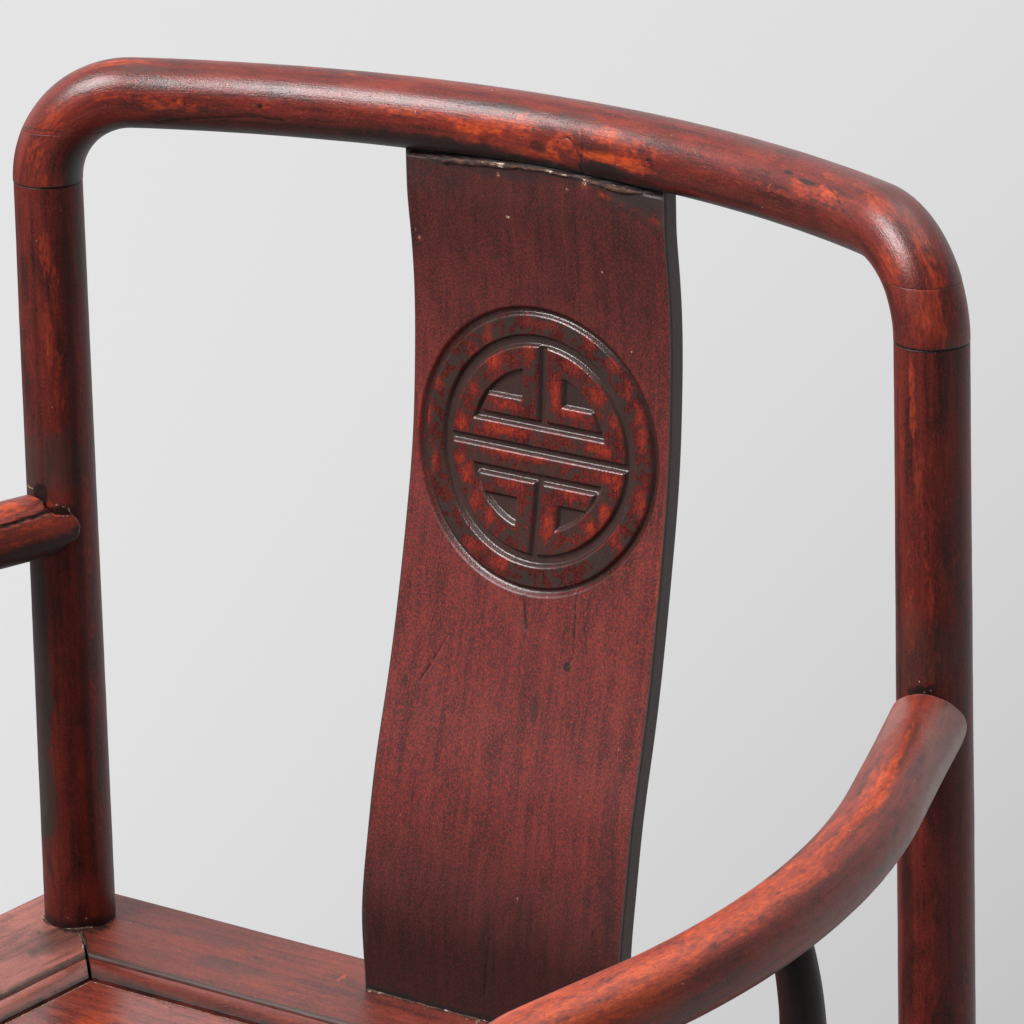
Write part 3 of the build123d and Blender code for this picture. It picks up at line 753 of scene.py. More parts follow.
def set_camera():
    """The photograph's view point."""
    yaw, pitch, roll = (math.radians(value) for value in (CAMERA_YAW, CAMERA_PITCH, CAMERA_ROLL))
    forward = Vector((
        -math.sin(yaw) * math.cos(pitch), math.cos(yaw) * math.cos(pitch), -math.sin(pitch)
    ))
    level = Vector((math.cos(yaw), math.sin(yaw), 0))
    plumb = forward.cross(level)
    right = level * math.cos(roll) + plumb * math.sin(roll)
    down = plumb * math.cos(roll) - level * math.sin(roll)
    turn = Matrix((right, -down, -forward)).transposed().to_4x4()
    data = bpy.data.cameras.new("camera")
    data.lens = CAMERA_LENS
    data.sensor_width = CAMERA_SENSOR
    data.clip_end = CAMERA_REACH
    camera = add_object("camera", data)
    camera.matrix_world = Matrix.Translation(CAMERA_PLACE) @ turn
    bpy.context.scene.camera = camera


CHAIR_MIDDLE = (0.0, 0.0, 0.6)
# The lamps' places, widths and depths, and powers
LAMPS = {
    "key": ((-1.15, -1.75, 3.1), (1.7, 1.2), 146),
    "top": ((0.3, 0.5, 3.4), (2.4, 2.4), 34),
}
# The light that the room throws, and its wall as the camera sees it: where it is brightest, the
# directions between which it brightens, and from what strength to what
ROOM_TONE = tone(240, 240, 242)
ROOM_STRENGTH = 0.26
WALL_TONE = tone(244, 244, 246)
WALL_SIDE = (-0.6, 0.8, 0.0)
WALL_SPAN = (-0.35, 0.55)
WALL_STRENGTHS = (0.22, 0.95)


def set_light():
    """A large soft key from above on the left, and a room whose far wall is the brightest."""
    for name, (place, (width, depth), power) in LAMPS.items():
        data = bpy.data.lights.new(name, "AREA")
        data.shape = "RECTANGLE"
        data.size, data.size_y = width, depth
        data.energy = power
        lamp = add_object(name, data)
        lamp.location = place
        lamp.rotation_mode = "QUATERNION"
        lamp.rotation_quaternion = (Vector(CHAIR_MIDDLE) - Vector(place)).to_track_quat("-Z", "Y")
    world = bpy.data.worlds.new("room")
    bpy.context.scene.world = world
    f = Nodes(world)
    direction = f.add("TexCoord")["Generated"]
    bright = f.span(f.toward(direction, WALL_SIDE), *WALL_SPAN, *WALL_STRENGTHS)
    _, _, seen = f.rays()
    room = f.add("Background", {"Color": ROOM_TONE, "Strength": ROOM_STRENGTH})
    wall = f.add("Background", {"Color": WALL_TONE, "Strength": bright})
    both = f.add("MixShader", {0: seen, 1: room[0], 2: wall[0]})
    f.add("OutputWorld", {"Surface": both[0]})


FLOOR_REACH = 14.0
FLOOR_TONE = tone(236, 236, 236)
FLOOR_DIM_TONE = tone(140, 140, 140)
# How much of the floor's brightness doesn't depend on the light
FLOOR_GLOW = 0.72
# The floor's brightness under the camera: its value at FLOOR_START, its rise to the left and its least
FLOOR_START = -0.5
FLOOR_DARK = 0.485
FLOOR_RISE = 0.5
FLOOR_LEAST = 0.45
# How bright the wood mirrors the floor: dark by the chair, pale far behind it on the right
MIRROR_SIDE = (0.55, 0.83, 0.0)
MIRROR_SPAN = (-0.4, 1.9)
MIRROR_STRENGTHS = (0.09, 0.8)


def set_floor():
    """A pale floor that keeps the chair's shadow and throws little light back up."""
    mesh = bpy.data.meshes.new("floor")
    corners = ((-1, -1), (1, -1), (1, 1), (-1, 1))
    mesh.from_pydata([(x * FLOOR_REACH, y * FLOOR_REACH, 0.0) for x, y in corners], [], [(0, 1, 2, 3)])
    floor = add_object("floor", mesh)
    f = Nodes(bpy.data.materials.new("floor_paint"))
    place = f.add("TexCoord")["Object"]
    across = f.add("SeparateXYZ", {0: place})["X"]
    camera, mirror, seen = f.rays()
    fall = f.math("EXPONENT", f.math("MINIMUM", f.math("SUBTRACT", across, FLOOR_START), 1.0))
    level = f.math("MAXIMUM", f.total(FLOOR_DARK + FLOOR_RISE, (fall, -FLOOR_RISE)), FLOOR_LEAST)
    mirrored = f.span(f.toward(place, MIRROR_SIDE), *MIRROR_SPAN, *MIRROR_STRENGTHS)
    level = f.math("MAXIMUM", f.times(level, camera), f.times(mirrored, mirror))
    lit = f.add("BsdfDiffuse", {"Color": FLOOR_TONE})
    glow = f.add("Emission", {"Strength": level})
    pale = f.add("MixShader", {0: FLOOR_GLOW, 1: lit[0], 2: glow[0]})
    dim = f.add("BsdfDiffuse", {"Color": FLOOR_DIM_TONE})
    both = f.add("MixShader", {0: seen, 1: dim[0], 2: pale[0]})
    f.add("OutputMaterial", {"Surface": both[0]})
    mesh.materials.append(f.owner)


# Crest rail and elbow blocks

def crest_path():
    """The crest's line from the right post's joint over to the left one."""
    turn = 2 * math.atan(CREST_BOW / (POST_TOP_X + CREST_BEND))
    inward = np.array((-math.cos(turn), math.sin(turn), 0.0))
    start = np.array((POST_TOP_X, REAR_Y, POST_TOP))
    rise = np.linspace(0, math.pi / 2, 120)[:, None]
    elbow = start + CREST_BEND * ((1 - np.cos(rise)) * inward + np.sin(rise) * UP)
    reach = elbow[-1][0] / math.sin(turn)
    centre = elbow[-1] - reach * np.array((math.sin(turn), math.cos(turn), 0.0))
    swing = np.linspace(turn, 0, 400)[1:, None]
    bow = centre + reach * (np.sin(swing) * RIGHT + np.cos(swing) * BACK)
    half = np.concatenate((elbow, bow))
    mirrored = half[::-1][1:] * at_hand(-1)
    return Path(np.concatenate((half, mirrored)), inward)


def seam_distance(angle):
    """How far along the elbow each line of the crest's surface crosses the level seam."""
    rise = (SEAM_HEIGHT - POST_TOP) / (CREST_BEND - CREST_RADIUS * np.cos(angle))
    return CREST_BEND * np.arcsin(np.clip(rise, 0, 1))


# Marks on the crest: distances from the right post's joint, and angles from the underside up the front
CREST_MARKS = {
    "spot wear": (
        (0.55, 545, 108, 22, 12), (0.42, 537, 103, 20, 9), (0.5, 525, 110, 22, 7), (0.75, 524, 167, 22, 9),
        (0.85, 508, 164, 26, 6), (0.7, 511, 101, 30, 5), (0.75, 490, 92, 26, 9), (0.55, 468, 83, 30, 6),
        (0.5, 440, 96, 40, 8), (0.45, 400, 185, 70, 10), (0.55, 380, 104, 50, 8), (0.95, 362, 107, 26, 5),
        (0.75, 350, 106, 22, 5), (0.75, 336, 108, 22, 5), (1.0, 322, 92, 20, 9), (1.0, 320, 73, 10, 7),
        (1.1, 310, 110, 26, 13), (0.95, 293, 113, 24, 11), (0.75, 303, 78, 20, 8), (1.1, 290, 66, 20, 7),
        (1.15, 279, 62, 18, 6), (1.1, 273, 76, 8, 12), (0.9, 267, 97, 14, 10), (0.6, 262, 80, 10, 16),
        (1.0, 243, 118, 26, 9), (0.75, 225, 112, 30, 8), (1.25, 238, 84, 30, 6), (1.3, 222, 81, 26, 8),
        (0.5, 208, 106, 40, 8), (0.3, 180, 92, 50, 9), (0.25, 150, 124, 50, 9), (0.8, 106, 120, 24, 8),
        (0.95, 92, 124, 20, 9), (0.3, 120, 95, 50, 6), (0.5, 85, 160, 50, 10), (0.85, 57, 150, 22, 7),
        (0.4, 60, 118, 30, 10), (0.75, 34, 172, 30, 9), (0.6, 36, 120, 20, 14), (0.5, 200, 250, 120, 14),
        (0.5, 360, 240, 140, 14), (0.5, 290, 290, 90, 12),
    ),
    "spot grime": (
        (0.5, 282.6, 82, 10, 6), (1.0, 244, 52, 34, 12), (0.8, 213, 96, 5, 1.8), (0.5, 248, 97, 26, 5),
        (0.9, 106, 131, 13, 2), (0.8, 122, 136, 7, 2), (1.0, 437, 94, 2.6, 2), (1.0, 479, 122, 2, 1.6),
        (1.0, 431, 116, 2.2, 1.8), (0.5, 310, 121, 40, 2.4), (0.45, 330, 122, 30, 2), (0.6, 285, 108, 3, 3),
        (0.9, 350, 52, 110, 13), (0.9, 300, 44, 70, 9), (0.5, 390, 62, 80, 8), (0.9, 316, 134, 1.6, 1.4),
        (0.9, 311, 137, 1.4, 1.2), (0.9, 306, 133, 1.6, 1.2), (0.8, 321, 138, 1.3, 1.3),
        (0.9, 301, 137, 1.5, 1.3), (0.8, 313, 130, 1.3, 1.2), (0.8, 297, 132, 1.4, 1.2),
        (0.7, 326, 134, 1.4, 1.2), (0.8, 308, 141, 1.3, 1.2),
    ),
    "spot ash": (
        (0.6, 318, 133, 30, 6), (0.6, 302, 136, 26, 6), (0.4, 262, 140, 30, 8), (0.45, 500, 150, 30, 8),
        (0.4, 62, 190, 60, 18), (0.3, 150, 170, 50, 10), (0.3, 470, 145, 40, 6), (0.25, 400, 150, 60, 8),
    ),
    # The stripes at low angles make the crest darker along its lower side
    "stripe grime": (
        (0.8, 22, 20, 0, 600), (0.34, 80, 14, 40, 236), (0.28, 96, 10, 60, 225), (0.3, 72, 12, 290, 470),
        (0.5, 52, 20, 320, 515),
    ),
    "stripe wear": ((0.26, 112, 22, 0, 600),),
    "stripe gloss": ((0.3, 138, 40, 0, 600),),
    "line grime": (
        (0.8, 0.6, ((89.2, 135), (80, 124), (72, 112), (62.1, 101))),
        (0.8, 0.6, ((557, 163), (552, 120), (545, 84), (541, 60))),
        (0.7, 0.5, ((320, 124), (300, 126), (285, 128))), (0.9, 0.6, ((258.6, 89), (256.6, 77))),
    ),
    "line pale": (
        (0.75, 0.45, ((473, 137), (467, 124))), (0.75, 0.5, ((258.9, 118), (257.3, 112))),
        (0.85, 0.6, ((255.5, 84), (254.5, 79))),
    ),
    "crack grime": (
        (0.95, 0.9, 1.1, 0.5, ((492, 52), (480, 60), (466, 65), (452, 70), (443, 74), (425, 72))),
        (0.9, 0.7, 0.7, 0.22, ((257.6, 118), (256.0, 110), (254.6, 90), (257, 60), (263.6, 22))),
        (0.9, 0.6, 0.8, 0.3, ((270.6, 93), (268, 101), (264.6, 104), (261, 99), (258.6, 89))),
    ),
}
# Marks on the blocks under its elbows, likewise
ELBOW_MARKS = {
    "right": {"spot wear": ((0.6, 14, 150, 30, 20), (0.5, 12, 60, 26, 10))},
    "left": {
        "spot wear": ((0.55, 560, 98, 26, 12), (0.55, 572, 88, 8, 16)),
        "spot grime": ((0.7, 562, 30, 50, 14),),
    },
}


def crest(finish):
    """The crest rail and the two blocks under its elbows."""
    path = crest_path()
    seam = seam_distance(ring_angles(BAR_SIDES))
    rail = Bar(
        path, CREST_RADIUS, low=seam, high=path.length - seam, rounds=(CRISP_ROUND, CRISP_ROUND),
        step=CREST_STEP, seed=1, marks=CREST_MARKS,
    )
    rail.make("crest", finish, "crest_wood", "crest_rail")

    right = Bar(
        path, CREST_RADIUS, high=seam, rounds=(SOFT_ROUND, CRISP_ROUND), seed=2,
        marks=ELBOW_MARKS["right"],
    )
    right.paint.band("grime", 0.0, 1.4, 0.9)
    right.make("elbow_right", finish, "crest_wood", "elbow_block_right")

    left = Bar(
        path, CREST_RADIUS, low=path.length - seam, rounds=(CRISP_ROUND, SOFT_ROUND), seed=3,
        marks=ELBOW_MARKS["left"],
    )
    left.paint.band("grime", path.length / MM, 1.2)
    left.make("elbow_left", finish, "crest_wood", "elbow_block_left")


# Legs and posts

def leg_radius_at(height, shaft):
    """A leg's radius at a height: thick below the seat, and its shaft above."""
    below = np.where(height < FOOT_CHAMFER, LEG_RADIUS - FOOT_CHAMFER + height, LEG_RADIUS)
    return np.where(height < SEAT_BOTTOM, below, shaft)


# Marks on the rear posts: heights, and angles from the front over to the right
POST_MARKS = {
    "right": {
        "spot wear": (
            (1.2, 878, 1, 24, 4), (1.0, 862, 3, 22, 4), (0.6, 840, 8, 30, 5), (0.5, 850, 335, 50, 7),
            (0.55, 780, 355, 80, 6), (0.5, 800, 30, 120, 12), (0.4, 720, 70, 60, 6), (0.25, 700, 20, 80, 5),
            (0.25, 640, 350, 90, 6), (0.4, 600, 30, 80, 5), (0.9, 736, 20, 3, 3), (0.45, 800, 60, 140, 10),
            (0.5, 600, 75, 120, 9),
        ),
        "spot ash": ((0.4, 752, 0, 44, 70),),
        "spot grime": (
            (0.35, 650, 0, 70, 8), (0.9, 734, 16, 7, 12), (0.8, 736, 28, 5, 6), (0.7, 733, 0, 5, 8),
            (0.4, 700, 70, 60, 18), (0.2, 640, 40, 120, 22),
        ),
        "spot pale": (
            (1.0, 739, 10, 1.6, 1.4), (0.9, 735, 27, 1.4, 1.4), (0.9, 734, 18, 1.2, 1.6),
            (0.9, 737, 33, 1.2, 1.2),
        ),
        # The stripe at 345 degrees, below the arm, is painted shade under the arm
        "stripe grime": (
            (0.22, 38, 6, 700, 892), (0.2, 78, 7, 560, 892), (0.3, 20, 5, 520, 740),
            (0.4, 300, 10, 520, 800), (0.45, 330, 3, 700, 892), (0.34, 45, 26, 520, 736),
            (0.55, 345, 14, 560, 680),
        ),
    },
    "left": {
        "spot wear": (
            (0.95, 861, 30, 26, 6), (0.8, 842, 44, 24, 5), (0.75, 815, 30, 40, 6), (0.6, 790, 45, 50, 6),
            (0.8, 735, 84, 40, 6), (0.8, 700, 84, 50, 5), (0.6, 640, 80, 80, 5), (0.5, 600, 50, 80, 6),
            (0.5, 550, 70, 50, 6), (1.2, 733, 15, 7, 5), (1.0, 731, 24, 6, 5),
        ),
        # The spot at 737 high is painted shadow in the gap at the arm's end
        "spot grime": ((1.1, 737, 4, 12, 9), (0.8, 727, 40, 9, 20), (0.9, 716, 0, 20, 30)),
        "spot ash": ((0.5, 752, 10, 40, 80),),
        "spot pale": ((1.0, 865.7, 17, 1.0, 1.0),),
        "stripe grime": (
            (0.4, 8, 7, 700, 880), (0.5, 66, 8, 520, 892), (0.35, 104, 4, 520, 892),
            (0.4, 40, 16, 520, 725),
        ),
        "stripe wear": ((0.5, 86, 5, 540, 880),),
        "stripe ash": (
            (0.5, 118, 8, 700, 880), (0.6, 102, 16, 830, 892), (0.5, 330, 10, 700, 800),
            (1.3, 334, 24, 545, 715),
        ),
        "line pale": (
            (1.0, 0.8, ((738.5, 328), (738.4, 345), (739.4, 4), (739.2, 10))),
            (0.9, 0.7, ((732.6, 28), (731.6, 38), (730, 50), (726, 58))),
        ),
    },
}


def rear_shaft(share):
    """The rear post's radius some way up from the seat."""
    return mixed(POST_RADIUS, POST_TOP_RADIUS, share)


def rear_post(hand, finish, side, seed):
    """One rear leg and post, from the floor to the crest's joint."""
    route = rounded_route(
        [(hand * POST_X, REAR_Y, 0), (hand * POST_X, REAR_Y, SEAT_TOP),
         (hand * POST_TOP_X, REAR_Y, POST_TOP)], [POST_BEND], COARSE_STEP,
    )

    def radius(distance):
        share = np.clip((distance - SEAT_TOP) / (POST_TOP - SEAT_TOP), 0, 1)
        return leg_radius_at(distance, rear_shaft(share))

    bar = Bar(
        Path(route, -BACK), radius, rounds=(CRISP_ROUND, SOFT_ROUND), seed=seed,
        marks=POST_MARKS[side],
    )
    bar.paint.band("grime", POST_TOP / MM, 1.2)
    bar.paint.band("grime", SEAT_TOP / MM + 1, 8, 0.7)
    return bar.make(f"rear_post_{side}", finish, "post_wood", f"rear_leg_{side}")


def front_post_path(hand):
    """The front leg's line, which curves outwards above the seat."""
    top = arm_points(1)[3][2]
    low = line_points((POST_X, FRONT_Y, 0), (POST_X, FRONT_Y, SEAT_TOP), COARSE_STEP)
    share = np.linspace(0, 1, 80)[:, None]
    rise = np.array((POST_X, FRONT_Y, SEAT_TOP)) + share * (top - SEAT_TOP) * UP
    high = rise + ARM_FRONT_OUT * ease(share) * RIGHT
    return Path(np.concatenate((low, high)) * at_hand(hand), -BACK)


def front_post(hand, finish, side, seed):
    """One front leg and the post that carries the arm's end."""
    path = front_post_path(hand)

    def radius(distance):
        share = np.clip((distance - SEAT_TOP) / (path.length - SEAT_TOP), 0, 1)
        return leg_radius_at(distance, mixed(POST_RADIUS, ARM_RADIUS, share))

    bar = Bar(path, radius, rounds=(CRISP_ROUND, BAR_ROUND), seed=seed)
    return bar.make(f"front_post_{side}", finish, "post_wood", f"front_leg_{side}")


# Arms

def arm_points(hand):
    """The arm's corners: rear post, bend, front elbow and joint with the front post."""
    run = REAR_Y - FRONT_Y
    height = SEAT_TOP + ARM_HEIGHT
    back = ARM_CORNER_SHARE * run
    start = np.array((POST_X - POST_LEAN * ARM_SHARE, REAR_Y, height))
    corner = start + np.array((ARM_CORNER_OUT, -back, -ARM_DROP_SHARE * back))
    start = start + np.array(ARM_SHIFTS[hand]) * MM
    corner = corner + ARM_LIFTS[hand] * MM * UP
    elbow = np.array((POST_X + ARM_FRONT_OUT, FRONT_Y, height - ARM_DROP_SHARE * run))
    down = elbow - (ARM_ELBOW + ARM_SOCKET) * UP
    return [point * at_hand(hand) for point in (start, corner, elbow, down)]


def arm_path(hand):
    """The arm's line with its long bend and its elbow."""
    start, corner, elbow, down = arm_points(hand)
    half = math.acos(np.dot(unit(corner - start), unit(elbow - corner))) / 2
    bend = ARM_BEND_SHARE * np.linalg.norm(elbow - corner) / math.tan(half)
    return Path(rounded_route([start, corner, elbow, down], [bend, ARM_ELBOW], MM), UP)


def cope_distance(path, axis, angle, radius, post_radius):
    """How far from the post's axis each line of the arm's surface leaves the post."""
    zero = np.zeros(np.shape(angle))
    start = path.surface(zero, angle, radius)
    direction = path.tangents[0]
    away = (start - axis)[..., :2]
    level = direction[:2]
    a = np.dot(level, level)
    b = 2 * (away @ level)
    c = np.sum(away * away, axis=-1) - post_radius ** 2
    return (-b + np.sqrt(np.maximum(b * b - 4 * a * c, 0))) / (2 * a)


# Marks on the arms: distances from the rear post and angles, with 0 degrees at the top
ARM_MARKS = {
    "right": {
        "spot wear": (
            (0.8, 62, 350, 30, 5), (1.0, 84, 352, 24, 6), (1.25, 109, 354, 26, 6), (1.2, 122, 4, 20, 6),
            (1.0, 150, 352, 40, 7), (0.95, 180, 354, 40, 7), (1.0, 215, 12, 50, 8), (0.7, 255, 35, 60, 8),
            (0.8, 300, 20, 60, 10), (1.0, 350, 10, 80, 14), (0.7, 160, 20, 40, 6), (0.7, 200, 330, 40, 6),
            (1.25, 320, 315, 90, 9), (1.0, 330, 300, 70, 8), (1.1, 290, 338, 200, 12),
            (1.0, 230, 345, 90, 10), (1.1, 120, 350, 60, 9),
        ),
        "spot grime": (
            (0.5, 60, 347, 30, 4), (0.42, 140, 13, 9, 4), (0.3, 148, 28, 12, 3), (0.3, 180, 312, 50, 5),
            (0.4, 290, 305, 120, 8),
        ),
        # Pale spots, partly dust and partly a painted reflection of the bright wall at the end and along the
        # lower edge
        "spot ash": (
            (0.36, 30, 318, 70, 22), (0.4, 60, 290, 100, 16), (0.34, 40, 30, 70, 12), (0.34, 14, 0, 14, 30),
            (0.8, 60, 262, 110, 14), (0.36, 110, 280, 120, 14), (0.36, 200, 280, 120, 12),
        ),
        "stripe wear": ((0.5, 4, 20, 60, 420), (0.8, 8, 26, 190, 420)),
    },
    "left": {
        "spot wear": (
            (1.1, 35, 344, 16, 6), (1.1, 41, 325, 14, 4), (0.9, 30, 329, 8, 3), (1.0, 19, 347, 8, 4),
            (0.6, 40, 269, 24, 6), (0.5, 25, 290, 30, 6), (0.9, 200, 0, 200, 14), (0.8, 330, 340, 120, 14),
            (0.9, 60, 330, 40, 6), (0.6, 60, 285, 50, 6), (0.9, 12, 300, 6, 3),
        ),
        "spot ash": ((0.3, 25, 340, 9, 5),),
        "spot grime": (
            (0.8, 30, 218, 90, 16), (1.0, 15, 338, 5, 5), (0.9, 25, 245, 60, 12), (0.7, 4, 262, 6, 8),
        ),
        "spot pale": ((0.9, 8, 296, 1.8, 1.4),),
        "stripe wear": ((0.5, -4, 20, 60, 420), (0.8, -8, 26, 190, 420)),
        "line grime": ((0.5, 0.7, ((42.5, 306), (65, 306), (84, 308))),),
        "line pale": (
            (0.9, 0.5, ((11.5, 357), (13.5, 342))),
            (0.9, 0.45, ((4, 290), (2.4, 280), (2.2, 268), (3.2, 256))), (0.8, 0.4, ((16, 352), (22, 350))),
        ),
        "crack grime": (
            (1.0, 1.3, 1.3, 1.3, ((12.5, 324), (17.5, 313), (25.5, 308), (34.5, 306), (42.5, 306))),
            (0.9, 0.5, 0.7, 0.4, ((15.5, 341), (23, 326), (33, 319))),
        ),
    },
}
# How much further than its hollow the left arm's end is broken away, by angle
ARM_BREAK = (
    (0, 0), (216, 0), (242, 2.4), (255, 0.7), (270, 0), (283, 1), (295, 3.2), (302, 6), (309, 8), (321, 4.5),
    (335, 0.5), (360, 0),
)
# The rings that hollow an arm's rear end, as shares of its radius
ARM_CORE = (0.3, 0.6, 0.8)


def arm(hand, finish, side, seed):
    """One arm, hollowed at its rear end to sit round the post."""
    path = arm_path(hand)
    angle = ring_angles(BAR_SIDES)
    swell, swell_start, swell_end = (value * MM for value in ARM_SWELLS[hand])
    post = rear_shaft(ARM_SHARE) + ARM_COPE_GAP
    axis = np.array((hand * (POST_X - POST_LEAN * ARM_SHARE), REAR_Y, 0.0))
    edge = np.full(angle.shape, ARM_RADIUS + swell)
    low = cope_distance(path, axis, angle, edge, post)
    lip = ARM_LIP + ARM_CORNERS[hand] * np.abs(np.sin(angle)) ** ARM_CORNER_POWER
    if hand < 0:
        low = low + np.interp(np.degrees(angle), *zip(*ARM_BREAK)) * MM

    def radius(distance):
        return ARM_RADIUS + swell * (1 - ease(distance, swell_start, swell_end))

    bar = Bar(path, radius, low=low, rounds=(lip, BAR_ROUND), seed=seed, marks=ARM_MARKS[side])
    core = []
    for share in ARM_CORE:
        ring = edge * share
        core.append((cope_distance(path, axis, angle, ring, post), angle, ring))
    return bar.make(f"arm_bar_{side}", finish, "arm_wood", f"arm_{side}", low_core=core)


def arc_between(start, end, count):
    """The arc that leaves its start straight down and ends at the given point."""
    start, end = np.asarray(start, float), np.asarray(end, float)
    chord = end - start
    level = chord - np.dot(chord, UP) * UP
    side = unit(level)
    radius = np.dot(chord, chord) / (2 * np.linalg.norm(level))
    turn = math.atan2(-chord[2], radius - np.linalg.norm(level))
    swing = np.linspace(0, turn, count)[:, None]
    return start + radius * (1 - np.cos(swing)) * side - radius * np.sin(swing) * UP


def arm_support(hand, finish, side, seed):
    """The tapered bar under one arm."""
    start, corner, _, _ = arm_points(1)
    back = REAR_Y - corner[1]
    out = ARM_CORNER_OUT - ARM_RADIUS + (SUPPORT_BACK - back) / back * ARM_CORNER_OUT
    top = np.array((
        start[0] + out, REAR_Y - SUPPORT_BACK, start[2] - ARM_DROP_SHARE * SUPPORT_BACK
    ))
    base = np.array((HALF_WIDTH - SUPPORT_BASE_INSET, REAR_Y - SUPPORT_BASE_BACK, SEAT_TOP))
    points = arc_between(top, base, 120)
    share = np.linspace(0, 1, len(points))[:, None]
    points = points + SUPPORT_BOW * (np.sin(math.pi * share) - (1 - share) ** SUPPORT_BOW_POWER) * RIGHT
    points = np.concatenate((points, points[-1:] - SUPPORT_SUNK * UP))
    path = Path(points * at_hand(hand), BACK)

    def radius(distance):
        return mixed(SUPPORT_TOP_RADIUS, SUPPORT_BASE_RADIUS, np.clip(distance / path.length, 0, 1))

    bar = Bar(path, radius, low=SUPPORT_START, seed=seed, sides=SUPPORT_SIDES)
    bar.paint.band("grime", ARM_RADIUS / MM, 12)
    # Painted shade on the top, under the arm
    bar.paint.add("grime", 0.72 * (1 - ease(bar.distance, *SUPPORT_SHADE)))
    return bar.make(f"arm_support_bar_{side}", finish, "arm_wood", f"arm_support_{side}")


# Splat

def spline_through(points, starts, ends, count):
    """A smooth curve through points that starts and ends in the given directions."""
    points = np.asarray(points, float)
    chords = np.linalg.norm(np.diff(points, axis=0), axis=1)
    marks = np.concatenate(([0.0], np.cumsum(chords)))
    size = len(points)
    system = np.zeros((size, size))
    wanted = np.zeros((size, points.shape[1]))
    system[0, 0] = system[-1, -1] = 1
    wanted[0], wanted[-1] = starts, ends
    for k in range(1, size - 1):
        before, after = chords[k - 1], chords[k]
        system[k, k - 1], system[k, k], system[k, k + 1] = after, 2 * (before + after), before
        wanted[k] = 3 * (
            (points[k] - points[k - 1]) * after / before + (points[k + 1] - points[k]) * before / after
        )
    slopes = np.linalg.solve(system, wanted)
    places = np.linspace(0, marks[-1], count)
    cell = np.clip(np.searchsorted(marks, places, side="right") - 1, 0, size - 2)
    h = chords[cell][:, None]
    t = ((places - marks[cell]) / chords[cell])[:, None]
    return (
        points[cell] * (1 + 2 * t) * (1 - t) ** 2 + slopes[cell] * h * t * (1 - t) ** 2
        + points[cell + 1] * t * t * (3 - 2 * t) + slopes[cell + 1] * h * t * t * (t - 1)
    )


def box_distance(x, y, half_x, half_y):
    """Signed distance to a rectangle about the origin, negative inside."""
    dx, dy = np.abs(x) - half_x, np.abs(y) - half_y
    return np.hypot(np.maximum(dx, 0), np.maximum(dy, 0)) + np.minimum(np.maximum(dx, dy), 0)


def polygon_distance(x, y, corners):
    """Signed distance to a closed outline, negative inside."""
    nearest = np.full(np.shape(x), np.inf)
    inside = np.zeros(np.shape(x), bool)
    for (ax, ay), (bx, by) in zip(corners, corners[1:] + corners[:1]):
        ex, ey = bx - ax, by - ay
        share = np.clip(((x - ax) * ex + (y - ay) * ey) / (ex * ex + ey * ey), 0, 1)
        nearest = np.minimum(nearest, np.hypot(x - ax - share * ex, y - ay - share * ey))
        crosses = (ay > y) != (by > y)
        rise = np.where(by == ay, 1.0, by - ay)
        inside ^= crosses & (x < ax + (y - ay) * ex / rise)
    return np.where(inside, -nearest, nearest)


def carving_distance(x, y):
    """Signed distance to the medallion's cut-away places, negative inside them."""
    reach = np.hypot(x, y)
    y = y + GROOVE_DROP
    bar_edge = GROOVE_WIDTH / 2 + BAR_WIDTH
    foot_low = bar_edge + GROOVE_WIDTH
    foot_high = foot_low + BAR_WIDTH
    stem_inner = GROOVE_WIDTH / 2
    stem_outer = stem_inner + STEM_WIDTH
    beyond = POCKET_RADIUS * 1.3
    cut = np.maximum(DISC_RADIUS - reach, reach - RING_INNER)
    cut = np.minimum(cut, box_distance(x, y, DISC_RADIUS + GROOVE_WIDTH / 2, GROOVE_WIDTH / 2))
    for side in (1, -1):
        pocket = np.maximum(reach - POCKET_RADIUS, bar_edge - side * y)
        for hand in (1, -1):
            outline = [
                (stem_inner, foot_low), (FOOT_REACHES[hand], foot_low),
                (FOOT_REACHES[hand] - FOOT_TAPER, foot_high),
                (stem_outer, foot_high), (stem_outer, beyond), (stem_inner, beyond),
            ]
            outline = [(SPINE_OFFSET + hand * a, side * b) for a, b in outline]
            pocket = np.maximum(pocket, -polygon_distance(x, y, outline))
        cut = np.minimum(cut, pocket)
        middle = side * (foot_low + DISC_RADIUS + GROOVE_WIDTH / 2) / 2
        half = (DISC_RADIUS + GROOVE_WIDTH / 2 - foot_low) / 2
        cut = np.minimum(cut, box_distance(x - SPINE_OFFSET, y - middle, GROOVE_WIDTH / 2, half))
    return cut


def carving_depth(x, y):
    """How deep the medallion is cut at each place on the splat's face."""
    into = WALL_START - carving_distance(x, y)
    beyond = np.hypot(x, y) - MEDAL_RADIUS
    depth = np.interp(into / MM, *zip(*WALL_PROFILE))
    return np.maximum(depth, np.interp(beyond / MM, *zip(*TRENCH_PROFILE))) * MM


def splat_rows():
    """Heights above the seat of the splat's rows, closest over the medallion."""
    reach = MEDAL_RADIUS + MEDAL_TRENCH
    low, high = MEDAL_HEIGHT - reach, MEDAL_HEIGHT + reach
    return np.concatenate((
        np.arange(-SPLAT_FOOT, low, SPLAT_STEP),
        np.arange(low, high, CARVING_STEP),
        np.arange(high, SPLAT_HEAD, SPLAT_STEP),
    ))


